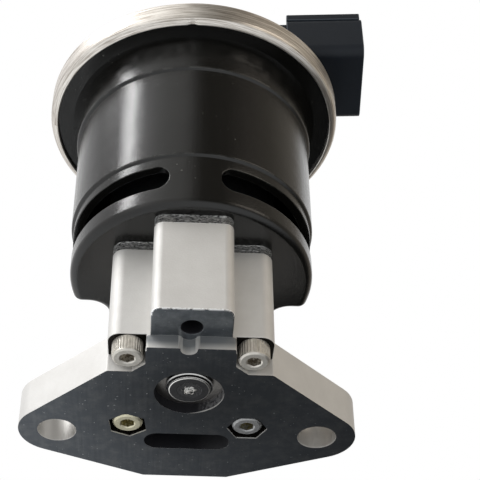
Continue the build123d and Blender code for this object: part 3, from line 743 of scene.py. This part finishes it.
# Zinc with yellow passivation on the left screw, and a darker grey on the right one.
passivated_zinc, tree, shader, place = new_finish("passivated zinc", Metallic=1.0)
side = add(tree, "ShaderNodeSeparateXYZ", {"Vector": place}).outputs["X"]
on_left = add(tree, "ShaderNodeMapRange", {"Value": side, "From Min": 1 * mm, "From Max": -1 * mm})
wander = add(
    tree, "ShaderNodeTexNoise",
    {"Vector": place, "Scale": per_mm(zinc_patch), "Detail": 4.0, "Roughness": 0.7},
)
yellowish = overlaid(tree, "#BDB698", (wander, "#F4EFD8"))
worked(
    tree, shader, wander, tones=("#6A6B6C", "#D0D0D0"),
    over=[(on_left, yellowish), (in_sockets(tree, place, wander), "#958C66")],
    rough=(0.52, 0.34), relief=(0.5, 0.08 * mm),
)

for node_name, places in screw_places.items():
    near = node_name == "near_case_screws"
    finish = dull_steel if near else passivated_zinc
    heads = in_scene(f"{node_name}_heads", screw_mesh(places))
    true_normals(heads, crease=30)
    slot_name = "screw_steel" if near else "plated_screw"
    belongs(heads, finish, slot_name, "root", node_name)
    for number, (x, y) in enumerate(places):
        knurled = grown(
            f"{node_name}_knurl_{number + 1}", knurl,
            {
                "Ribs": knurl_ribs,
                "Ring Radius": head_radius - rib_radius,
                "Rib Radius": rib_radius,
                "Length": head_high - head_low - face_land - knurl_gap,
                "Middle": (x, y, (head_low + head_high + face_land) / 2),
            },
            finish,
        )
        belongs(knurled, finish, slot_name, "root")

# ---- Magnetic circuit and coil
# A threaded plate, a core with a conical rim, a drawn yoke tube and an upper plate of soft iron
# carry the field of a copper coil, wound on a nylon bobbin. All of it sits in the case.
soft_iron = steel_finish(
    "phosphated soft iron", dark="#55565A", light="#8A8C90", rough=0.42, patch=1.6, relief=0.25,
)
for node_name in ("frame_plate", "pole_core", "yoke_tube", "upper_plate", "armature"):
    coated(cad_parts[node_name], soft_iron)

glass_nylon = patchy_finish(
    "glass-filled nylon", patch=4.0, tones=("#A39A80", "#BDB498"), detail=5.0, Roughness=0.5,
)
for node_name in ("coil_bobbin", "sensor_guide", "sensor_plunger"):
    coated(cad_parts[node_name], glass_nylon)

# The winding's outer layer is laid turn by turn; the layers under it are the plain ring's body.
wire_gauge = 0.7 * mm
winding_low = 41.5 * mm
winding_high = 74.6 * mm
winding_outer = 18.0 * mm
winding_inner = 12.0 * mm
enamelled_copper = patchy_finish(
    "enamelled copper wire", patch=5.0, tones=("#8C3F1C", "#B8602C"), detail=3.0, Metallic=1.0,
    Roughness=0.3, Coat_Weight=0.6,
)

turns, given = new_growth(
    "wound turns", Turns="NodeSocketInt", Pitch="NodeSocketVector", Start="NodeSocketVector",
    Turn_Radius="NodeSocketFloat", Wire_Radius="NodeSocketFloat",
)
stack = add(
    turns, "GeometryNodeMeshLine",
    {"Count": given["Turns"], "Start Location": given["Start"], "Offset": given["Pitch"]},
)
turn_path = add(
    turns, "GeometryNodeCurvePrimitiveCircle", {"Resolution": 96, "Radius": given["Turn Radius"]},
)
wire_section = add(
    turns, "GeometryNodeCurvePrimitiveCircle", {"Resolution": 8, "Radius": given["Wire Radius"]},
)
one_turn = add(
    turns, "GeometryNodeCurveToMesh", {"Curve": turn_path, "Profile Curve": wire_section},
)
all_turns = add(turns, "GeometryNodeInstanceOnPoints", {"Points": stack, "Instance": one_turn})
end_growth(turns, given, all_turns)
turn_count = int((winding_high - winding_low) / wire_gauge)
outer_layer = grown(
    "winding_outer_layer", turns,
    {
        "Turns": turn_count,
        "Pitch": (0, 0, wire_gauge),
        "Start": (stem.x, stem.y, winding_low + wire_gauge / 2),
        "Turn Radius": winding_outer - wire_gauge / 2,
        "Wire Radius": wire_gauge / 2,
    },
    enamelled_copper,
)
belongs(outer_layer, enamelled_copper, "copper_wire", "root")


def spun(name, profile, sides, axis):
    """A ring or a solid of revolution from a closed profile of (radius, height) pairs."""
    work = bmesh.new()
    rows = []
    for step in range(sides):
        angle = 2 * math.pi * step / sides
        rows.append([
            work.verts.new((axis.x + r * math.cos(angle), axis.y + r * math.sin(angle), z))
            for r, z in profile
        ])
    skinned(work, rows + rows[:1])
    return in_scene(name, outward_mesh(name, work))


inner_outer = winding_outer - wire_gauge / 2
inner_layers = spun(
    "winding_inner_layers",
    [(winding_inner, winding_low), (inner_outer, winding_low),
     (inner_outer, winding_high), (winding_inner, winding_high)],
    sides=96, axis=stem,
)
true_normals(inner_layers, stem)
belongs(inner_layers, enamelled_copper, "copper_wire", "root", "coil_winding")

# ---- Solenoid case
# A cup moulded in black glass-filled nylon. The mould's spark-eroded wall leaves a fine even
# grain and edges rounded by just over a quarter of a millimetre, which handling rubs grey.
case_edge = 0.28 * mm
case_grain = 0.38
case_dark = "#090908"
case_light = "#12110F"
case_worn = "#2E2E2C"
dust = "#4C4C48"
flow_width = 11.0
sheen_width = 1.6
sheen_length = 60.0
rub_width = 3.0
dust_spacing = 1.8
case_nylon, tree, shader, place = new_finish("black moulded nylon", Specular_IOR_Level=0.5)
grain = add(
    tree, "ShaderNodeTexNoise",
    {"Vector": place, "Scale": per_mm(case_grain), "Detail": 3.0, "Roughness": 0.6},
)
flow = add(
    tree, "ShaderNodeTexNoise", {"Vector": place, "Scale": per_mm(flow_width), "Detail": 4.0},
)
# The cup is drawn from the mould along its height, which leaves the sheen in upright streaks.
upright = add(
    tree, "ShaderNodeMapping",
    {"Vector": place,
     "Scale": (per_mm(sheen_width), per_mm(sheen_width), per_mm(sheen_length))},
)
streaks = add(tree, "ShaderNodeTexNoise", {"Vector": upright, "Scale": 1.0, "Detail": 3.0})
# Handling rubs the edges grey here and there.
edge = add(tree, "ShaderNodeAttribute", attribute_name="rounded_edge").outputs["Fac"]
rubbing = add(
    tree, "ShaderNodeTexNoise", {"Vector": place, "Scale": per_mm(rub_width), "Detail": 4.0},
)
rubbed = add(tree, "ShaderNodeMapRange", {"Value": rubbing, "From Min": 0.42, "From Max": 0.62})
# A few specks of dust lie on the wall.
speck_distance = add(tree, "ShaderNodeTexVoronoi", {"Vector": place, "Scale": per_mm(dust_spacing)})
speck_limit = add(
    tree, "ShaderNodeMapRange", {"Value": flow, "From Min": 0.5, "From Max": 0.75, "To Max": 0.16},
)
speck = add(tree, "ShaderNodeMath", {0: speck_distance, 1: speck_limit}, operation="LESS_THAN")
worked(
    tree, shader, flow, tones=(case_dark, case_light),
    over=[(joined(tree, "MULTIPLY", edge, rubbed), case_worn), (speck, dust)],
)
mottle = add(tree, "ShaderNodeMix", {0: 0.5, 2: flow, 3: streaks}, data_type="FLOAT")
gloss = add(
    tree, "ShaderNodeMapRange",
    {"Value": mottle, "From Min": 0.3, "From Max": 0.7, "To Min": 0.22, "To Max": 0.12},
)
flat_wall = add(tree, "ShaderNodeMapRange", {"Value": edge, "To Min": 0.2, "To Max": 0.0})
# The wall sank slightly as it cooled, so its reflections waver.
sink = add(tree, "ShaderNodeBump", {"Height": flow, "Strength": 0.35, "Distance": 0.3 * mm})
sheen = add(
    tree, "ShaderNodeBump",
    {"Height": streaks, "Strength": flat_wall, "Distance": 0.05 * mm, "Normal": sink},
)
bump = add(
    tree, "ShaderNodeBump",
    {"Height": grain, "Strength": 0.4, "Distance": 0.1 * mm, "Normal": sheen},
)
lead_in(tree, shader, Roughness=gloss, Normal=bump)
moulded_case = in_scene("moulded_case", merged("solenoid_case"))
broken_edges(moulded_case, case_edge)
true_normals(moulded_case, stem)
belongs(moulded_case, case_nylon, "case_plastic", "root", "solenoid_case")

# ---- Sensor cap and connector
# The lid, the sensor housing and the connector shell are one moulding in a blue-black polyester,
# a little duller than the case. Its edges are rounded by about a quarter of a millimetre.
cap_edge = 0.25 * mm
cap_grain = 0.5
cap_flow_width = 8.0
cap_polyester, tree, shader, place = new_finish(
    "blue-black moulded polyester", Specular_IOR_Level=0.22,
)
grain = add(
    tree, "ShaderNodeTexNoise",
    {"Vector": place, "Scale": per_mm(cap_grain), "Detail": 3.0, "Roughness": 0.6},
)
flow = add(
    tree, "ShaderNodeTexNoise", {"Vector": place, "Scale": per_mm(cap_flow_width), "Detail": 4.0},
)
edge = add(tree, "ShaderNodeAttribute", attribute_name="rounded_edge").outputs["Fac"]
worked(tree, shader, flow, tones=("#171B21", "#1E232A"), over=[(edge, "#40464D")], rough=(0.5, 0.4))
worked(tree, shader, grain, relief=(0.25, 0.08 * mm))
moulded_cap = in_scene("moulded_cap", merged("sensor_cap"))
broken_edges(moulded_cap, cap_edge)
true_normals(moulded_cap, stem)
belongs(moulded_cap, cap_polyester, "cap_plastic", "root", "sensor_cap")

# ---- Crimp ring
# A drawn ring of bright steel, rolled over the case flange and the cap. The rolling leaves brush
# lines along it, rounded corners, a crease above the lip and one small nick in the lip.
ring_bottom = 83.2 * mm
flange_under = 84.1 * mm
rim_level = 88.4 * mm
ring_top = 89.7 * mm
ring_out = 37.3 * mm
ring_in = 36.0 * mm
lip_in = 35.3 * mm
top_in = 33.8 * mm
bead_out = 37.1 * mm
bead_top = 84.75 * mm
crease_depth = 0.12 * mm
crease_height = 0.25 * mm
outer_roll = 0.63 * mm
inner_roll = 0.45 * mm
lip_rise = 0.3 * mm
lip_run = 0.4 * mm
nick_angle = math.radians(-92.5)
nick_half = 0.7 * mm
nick_depth = 0.35 * mm
brush_gap = 0.3
brush_turn = 0.25


def rounded(corner, start, end, steps=4):
    """Points on a quarter round from start to end about the corner they would have met in."""
    made = []
    for step in range(steps + 1):
        t = step / steps
        shares = ((start, (1 - t) ** 2), (corner, 2 * t * (1 - t)), (end, t ** 2))
        made.append(tuple(sum(point[k] * share for point, share in shares) for k in (0, 1)))
    return made


# The lip slopes down and in from the crease, and ends in a small round edge under the case flange.
slope_low = (bead_out - 0.9 * mm, bead_top - 1.3 * mm)
slope_corner = (bead_out - 0.2 * mm, bead_top - 0.9 * mm)
slope_high = (bead_out, bead_top - 0.35 * mm)
ring_profile = [
    (lip_in, flange_under),
    *rounded(
        (lip_in, ring_bottom),
        start=(lip_in, ring_bottom + lip_rise),
        end=(lip_in + lip_run, ring_bottom),
    ),
    *rounded(slope_corner, start=slope_low, end=slope_high),
    (ring_out - crease_depth, bead_top),
    (ring_out, bead_top + crease_height),
    *rounded(
        (ring_out, ring_top),
        start=(ring_out, ring_top - outer_roll),
        end=(ring_out - outer_roll, ring_top),
    ),
    *rounded(
        (top_in, ring_top),
        start=(top_in + inner_roll, ring_top),
        end=(top_in, ring_top - inner_roll),
    ),
    (top_in, rim_level),
    (ring_in, rim_level),
    (ring_in, flange_under),
]
bright_steel, tree, shader, place = new_finish("rolled bright steel", Metallic=1.0)
centred = add(tree, "ShaderNodeMapping", {"Vector": place, "Location": (0, -stem.y, 0)})
parts = add(tree, "ShaderNodeSeparateXYZ", {"Vector": centred}).outputs
turn_angle = add(tree, "ShaderNodeMath", {0: parts["Y"], 1: parts["X"]}, operation="ARCTAN2")
around = add(
    tree, "ShaderNodeCombineXYZ",
    {"X": turn_angle, "Y": off_axis(tree, place, stem), "Z": parts["Z"]},
)
brushed = add(
    tree, "ShaderNodeMapping",
    {"Vector": around, "Scale": (1 / brush_turn, per_mm(brush_gap), per_mm(brush_gap))},
)
brush_lines = add(
    tree, "ShaderNodeTexNoise", {"Vector": brushed, "Scale": 1.0, "Detail": 4.0, "Roughness": 0.7},
)
lines_apart = add(
    tree, "ShaderNodeMapRange", {"Value": brush_lines, "From Min": 0.36, "From Max": 0.58},
)
worked(tree, shader, lines_apart, tones=("#A1988E", "#EEE9E2"))
worked(tree, shader, brush_lines, rough=(0.48, 0.26), relief=(0.7, 0.04 * mm))
rolled_ring = spun("rolled_ring", ring_profile, sides=240, axis=stem)
for point in rolled_ring.data.vertices:
    out = point.co - stem
    along = (math.atan2(out.y, out.x) - nick_angle) * ring_out
    if abs(along) < nick_half and point.co.z < flange_under:
        point.co.z = min(point.co.z + nick_depth, flange_under)
true_normals(rolled_ring, stem, crease=40)
belongs(rolled_ring, bright_steel, "ring_steel", "root", "crimp_ring")

# ---- Terminals
# Five blades stamped from brass strip and tinned in a hot bath, which leaves them bright and
# slightly clouded. Their edges are coined round, so that the plug slides on.
blade_edge = 0.18 * mm
tinned = steel_finish(
    "hot-tinned brass", dark="#B9B5A6", light="#DDD9CB", rough=0.26, patch=2.0, relief=0.15,
)
blades = in_scene("blades", merged("terminal_pins"))
broken_edges(blades, blade_edge)
true_normals(blades)
belongs(blades, tinned, "tinned_brass", "root", "terminal_pins")
coated(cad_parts["wiper"], tinned)

# ---- Resistor board
# A small plate of fired alumina, cream and slightly glossy. The wiper slides on a matt carbon
# track, which is printed down its middle.
track_middle = -0.7 * mm
track_half = 1.6 * mm
alumina, tree, shader, place = new_finish("alumina with a carbon track", Roughness=0.5)
across = add(tree, "ShaderNodeSeparateXYZ", {"Vector": place}).outputs["Y"]
on_track = add(
    tree, "ShaderNodeMath", {0: across, 1: stem.y + track_middle, 2: track_half},
    operation="COMPARE",
)
worked(tree, shader, on_track, tones=("#D8D3C4", "#1B1A1A"))
coated(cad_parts["sensor_board"], alumina)

# ---- Valve: stem, disc, screw, springs and clip
# The stem is ground steel. The disc on its end is turned from a dark heat-resisting steel and held
# by a six-lobe screw, whose recess the driver has burred bright. The springs are drawn wire, and
# each stands between a fixed part and a moving one.
disc_edge = 0.12 * mm
screw_reach = 4.0 * mm
screw_face = 0.84 * mm
ground_steel = steel_finish(
    "ground stem steel", dark="#8E8E90", light="#BDBDBE", rough=0.24, patch=0.7, relief=0.1,
)
coated(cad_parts["valve_stem"], ground_steel)
spring_wire = steel_finish(
    "drawn spring wire", dark="#77787B", light="#A9AAAC", rough=0.3, patch=0.6, relief=0.12,
)
coated(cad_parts["stem_clip"], spring_wire)


def coil_spring(name, node_name):
    """A copy of a spring's CAD node, smooth shaded and coated in spring wire, which takes the
    node's place."""
    spring = in_scene(name, merged(node_name))
    true_normals(spring, crease=50)
    coated(spring, spring_wire)
    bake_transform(spring)
    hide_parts(node_name)


coil_spring(
    "lift_spring", "return_spring",
)
coil_spring(
    "plunger_spring", "sensor_spring",
)


def on_rim_highlight(tree, place, wander):
    """One on the disc's rounded outer edges, where a highlight is painted, and nought round the
    screw's head.
    """
    rim_edge = add(tree, "ShaderNodeAttribute", attribute_name="rounded_edge").outputs["Fac"]
    outer = add(
        tree, "ShaderNodeMath", {0: 1.0, 1: within(tree, place, stem, screw_reach)},
        operation="SUBTRACT",
    )
    return joined(tree, "MULTIPLY", rim_edge, outer)


# Painted highlight: the disc's rounded outer edges are coloured near white.
disc_steel = steel_finish(
    "dark turned disc steel", dark="#3A3A3C", light="#626263", rough=0.32, patch=0.6, relief=0.3,
    where=on_rim_highlight, other="#F2F0EC",
)
turned_disc = in_scene("turned_disc", merged("valve_disc"))
broken_edges(turned_disc, disc_edge)
true_normals(turned_disc, stem)
belongs(turned_disc, disc_steel, "disc_steel", "valve", "valve_disc")
# The disc's shoulder stands a little proud of its face; its edge is painted near white as a
# highlight.
shoulder_in = 4.78 * mm
shoulder_out = 5.3 * mm
shoulder_low = 1.5 * mm
shoulder_high = 1.95 * mm
shoulder_lip = 0.2 * mm
disc_shoulder = spun(
    "disc_shoulder",
    [(shoulder_in, shoulder_low), (shoulder_out - shoulder_lip, shoulder_low),
     (shoulder_out, shoulder_low + shoulder_lip), (shoulder_out, shoulder_high),
     (shoulder_in, shoulder_high)],
    sides=96, axis=stem,
)


def off_lip(tree, place, wander):
    """One on the shoulder's dark faces, and nought on its lip."""
    height = add(tree, "ShaderNodeSeparateXYZ", {"Vector": place}).outputs["Z"]
    above_lip = add(
        tree, "ShaderNodeMath", {0: height, 1: shoulder_low + shoulder_lip},
        operation="GREATER_THAN",
    )
    inside_lip = within(tree, place, stem, shoulder_out - shoulder_lip)
    return joined(tree, "MAXIMUM", above_lip, inside_lip)


shoulder_highlight = steel_finish(
    "steel edge with painted highlight", dark="#B5B4B2", light="#F2F1EF", rough=0.3, patch=1.4, relief=0.2,
    where=off_lip, other="#3A3A3C",
)
true_normals(disc_shoulder, stem)
belongs(disc_shoulder, shoulder_highlight, "disc_steel", "valve")


def off_recess(tree, place, wander):
    """One on the head's dark face and on a few dark patches in its recess, and nought on the rest
    of the recess, which the driver has burred bright."""
    height = add(tree, "ShaderNodeSeparateXYZ", {"Vector": place}).outputs["Z"]
    outside = add(tree, "ShaderNodeMath", {0: height, 1: screw_face}, operation="LESS_THAN")
    patch = add(tree, "ShaderNodeMath", {0: wander, 1: 0.46}, operation="LESS_THAN")
    return joined(tree, "MAXIMUM", outside, patch)


burred_steel = steel_finish(
    "driver-burred steel", dark="#EAE6DE", light="#FFFFFF", rough=0.5, patch=0.6, relief=1.0,
    where=off_recess, other="#4C4C4D", dent=0.4 * mm,
)
lobed_screw = in_scene("lobed_screw", merged("disc_screw"))
true_normals(lobed_screw, stem)
belongs(lobed_screw, burred_steel, "screw_steel", "valve", "disc_screw")

# ---- Studio
# A pale floor that only shows from above, a soft key lamp high on the left, a wider window lamp
# over it, and a weak warm fill on the right. Round them is a room in upright bands, which is dim
# below the horizon, with a white backdrop behind the valve.
floor_half = 3.0
floor_height = -0.2 * mm
lit_middle = Vector((0, -16, 50)) * mm
backdrop_way = (0.017, 0.753, 0.657)
floor_mesh = bpy.data.meshes.new("floor")
floor_mesh.from_pydata(
    [(x * floor_half, y * floor_half, floor_height)
     for x, y in ((-1, -1), (1, -1), (1, 1), (-1, 1))],
    [], [(0, 1, 2, 3)],
)
floor = in_scene("floor", floor_mesh)
floor_paint = bpy.data.materials.new("floor paint")
floor_paint.use_nodes = True
tree = floor_paint.node_tree
tree.nodes.clear()
paint = add(tree, "ShaderNodeBsdfDiffuse", {"Color": linear("#EDEDED")})
clear = add(tree, "ShaderNodeBsdfTransparent")
seen = add(tree, "ShaderNodeLightPath").outputs["Is Camera Ray"]
backface = add(tree, "ShaderNodeNewGeometry").outputs["Backfacing"]
front = add(tree, "ShaderNodeMath", {0: 1.0, 1: backface}, operation="SUBTRACT")
shown = joined(tree, "MULTIPLY", seen, front)
surface = add(tree, "ShaderNodeMixShader", {0: shown, 1: clear, 2: paint})
add(tree, "ShaderNodeOutputMaterial", {"Surface": surface})
floor_mesh.materials.append(floor_paint)


def softbox(name, direction, distance, size, watts, colour):
    """An oblong lamp that faces the valve from a direction, at a distance in metres."""
    lamp = bpy.data.lights.new(name, "AREA")
    lamp.shape = "RECTANGLE"
    lamp.size, lamp.size_y = size
    lamp.energy = watts
    lamp.color = colour
    holder = bpy.data.objects.new(name, lamp)
    bpy.context.scene.collection.objects.link(holder)
    toward = Vector(direction).normalized()
    holder.location = lit_middle + toward * distance
    holder.rotation_euler = toward.to_track_quat("Z", "Y").to_euler()


softbox(
    "key", direction=(-0.679, -0.325, 0.657), distance=0.6, size=(0.064, 0.26), watts=0.83,
    colour=(1.0, 1.0, 1.0),
)
softbox(
    "window", direction=(-0.62, -0.1, 0.95), distance=0.7, size=(0.3, 0.2), watts=0.4,
    colour=(1.0, 1.0, 1.0),
)
softbox(
    "fill", direction=(0.7, -0.6, 0.35), distance=0.8, size=(0.4, 0.4), watts=0.68,
    colour=(1.0, 0.91, 0.79),
)

world = bpy.data.worlds.new("surroundings")
bpy.context.scene.world = world
world.use_nodes = True
tree = world.node_tree
tree.nodes.clear()
direction = add(tree, "ShaderNodeTexCoord").outputs["Generated"]
reach = add(tree, "ShaderNodeSeparateXYZ", {"Vector": direction}).outputs
# The room: how bright it is at each bearing, from behind on the right, past the front, to behind
# on the left. The case's glossy wall mirrors it as upright bands.
to_front = add(tree, "ShaderNodeMath", {0: reach["Y"], 1: -1.0}, operation="MULTIPLY")
bearing = add(tree, "ShaderNodeMath", {0: reach["X"], 1: to_front}, operation="ARCTAN2")
room = add(
    tree, "ShaderNodeMapRange", {"Value": bearing, "From Min": math.pi, "From Max": -math.pi},
)
bands = add(tree, "ShaderNodeValToRGB", {"Fac": room})
stops = [
    (0.0, "#A8A199"), (0.12, "#928B82"), (0.22, "#8E887E"), (0.29, "#7C766C"), (0.36, "#6D6761"),
    (0.40, "#5A5650"), (0.492, "#504D48"), (0.515, "#BDBCB9"), (0.60, "#D2D2D0"),
    (0.63, "#FFFFFF"), (0.67, "#C8C8C8"), (0.75, "#C0C0C0"), (0.85, "#C8C8C9"),
    (1.0, "#A8A199"),
]
ramp = bands.color_ramp
while len(ramp.elements) < len(stops):
    ramp.elements.new(0.5)
for element, (where, code) in zip(ramp.elements, stops):
    element.position = where
    element.color = linear(code)
ceiling = add(
    tree, "ShaderNodeMapRange",
    {"Value": reach["Z"], "From Min": 0.76, "From Max": 0.9, "To Min": 1.5, "To Max": 2.4},
    interpolation_type="SMOOTHSTEP",
)
upper = add(tree, "ShaderNodeBackground", {"Color": bands, "Strength": ceiling})
# Below, it is dim behind the valve and fades from left to right, and pale in front of it.
fade = add(
    tree, "ShaderNodeMapRange",
    {"Value": reach["X"], "From Min": -0.2, "From Max": 0.08, "To Min": 1.0, "To Max": 0.03},
    interpolation_type="SMOOTHSTEP",
)
frontward = add(
    tree, "ShaderNodeMapRange", {"Value": reach["Y"], "From Min": 0.3, "From Max": -0.3},
    interpolation_type="SMOOTHSTEP",
)
dim = add(tree, "ShaderNodeMix", {0: frontward, 2: fade, 3: 0.9}, data_type="FLOAT")
lower = add(tree, "ShaderNodeBackground", {"Color": (0.97, 0.99, 1.0, 1), "Strength": dim})
above = add(
    tree, "ShaderNodeMapRange", {"Value": reach["Z"], "From Min": -0.4, "From Max": 0.1},
    interpolation_type="SMOOTHSTEP",
)
around_light = add(tree, "ShaderNodeMixShader", {0: above, 1: lower, 2: upper})
# The white backdrop stands behind and above the valve; metal and glass mirror it too.
toward = add(tree, "ShaderNodeVectorMath", {0: direction, 1: backdrop_way}, operation="DOT_PRODUCT")
on_backdrop = add(tree, "ShaderNodeMapRange", {"Value": toward, "From Min": 0.75, "From Max": 0.85})
ray = add(tree, "ShaderNodeLightPath").outputs
bounced = joined(tree, "MAXIMUM", ray["Is Glossy Ray"], ray["Is Transmission Ray"])
mirrored = joined(tree, "MULTIPLY", bounced, on_backdrop)
seen = joined(tree, "MAXIMUM", ray["Is Camera Ray"], mirrored)
white = add(tree, "ShaderNodeBackground", {"Color": (1, 1, 1, 1), "Strength": 1.0})
sky = add(tree, "ShaderNodeMixShader", {0: seen, 1: around_light, 2: white})
add(tree, "ShaderNodeOutputWorld", {"Surface": sky})
bpy.context.scene.view_settings.view_transform = "Standard"

# The camera looks up at the mating face from below and in front, leaning by a degree.
camera_data = bpy.data.cameras.new("camera")
camera_data.lens = 102.29
camera_data.sensor_width = 36.0
camera_data.shift_x = 0.1
camera_data.clip_start = 0.01
camera = bpy.data.objects.new("camera", camera_data)
bpy.context.scene.collection.objects.link(camera)
camera_place = Vector((-5.518, -266.509, -173.079)) * mm
target = Vector((-0.07, -22.48, 39.69)) * mm
forward = (target - camera_place).normalized()
level_right = forward.cross(Vector((0, 0, 1))).normalized()
level_up = level_right.cross(forward)
lean = 0.017
right = level_right * math.cos(lean) + level_up * math.sin(lean)
up = right.cross(forward)
turn = Matrix((right, up, -forward)).transposed()
camera.matrix_world = Matrix.Translation(camera_place) @ turn.to_4x4()
bpy.context.scene.camera = camera
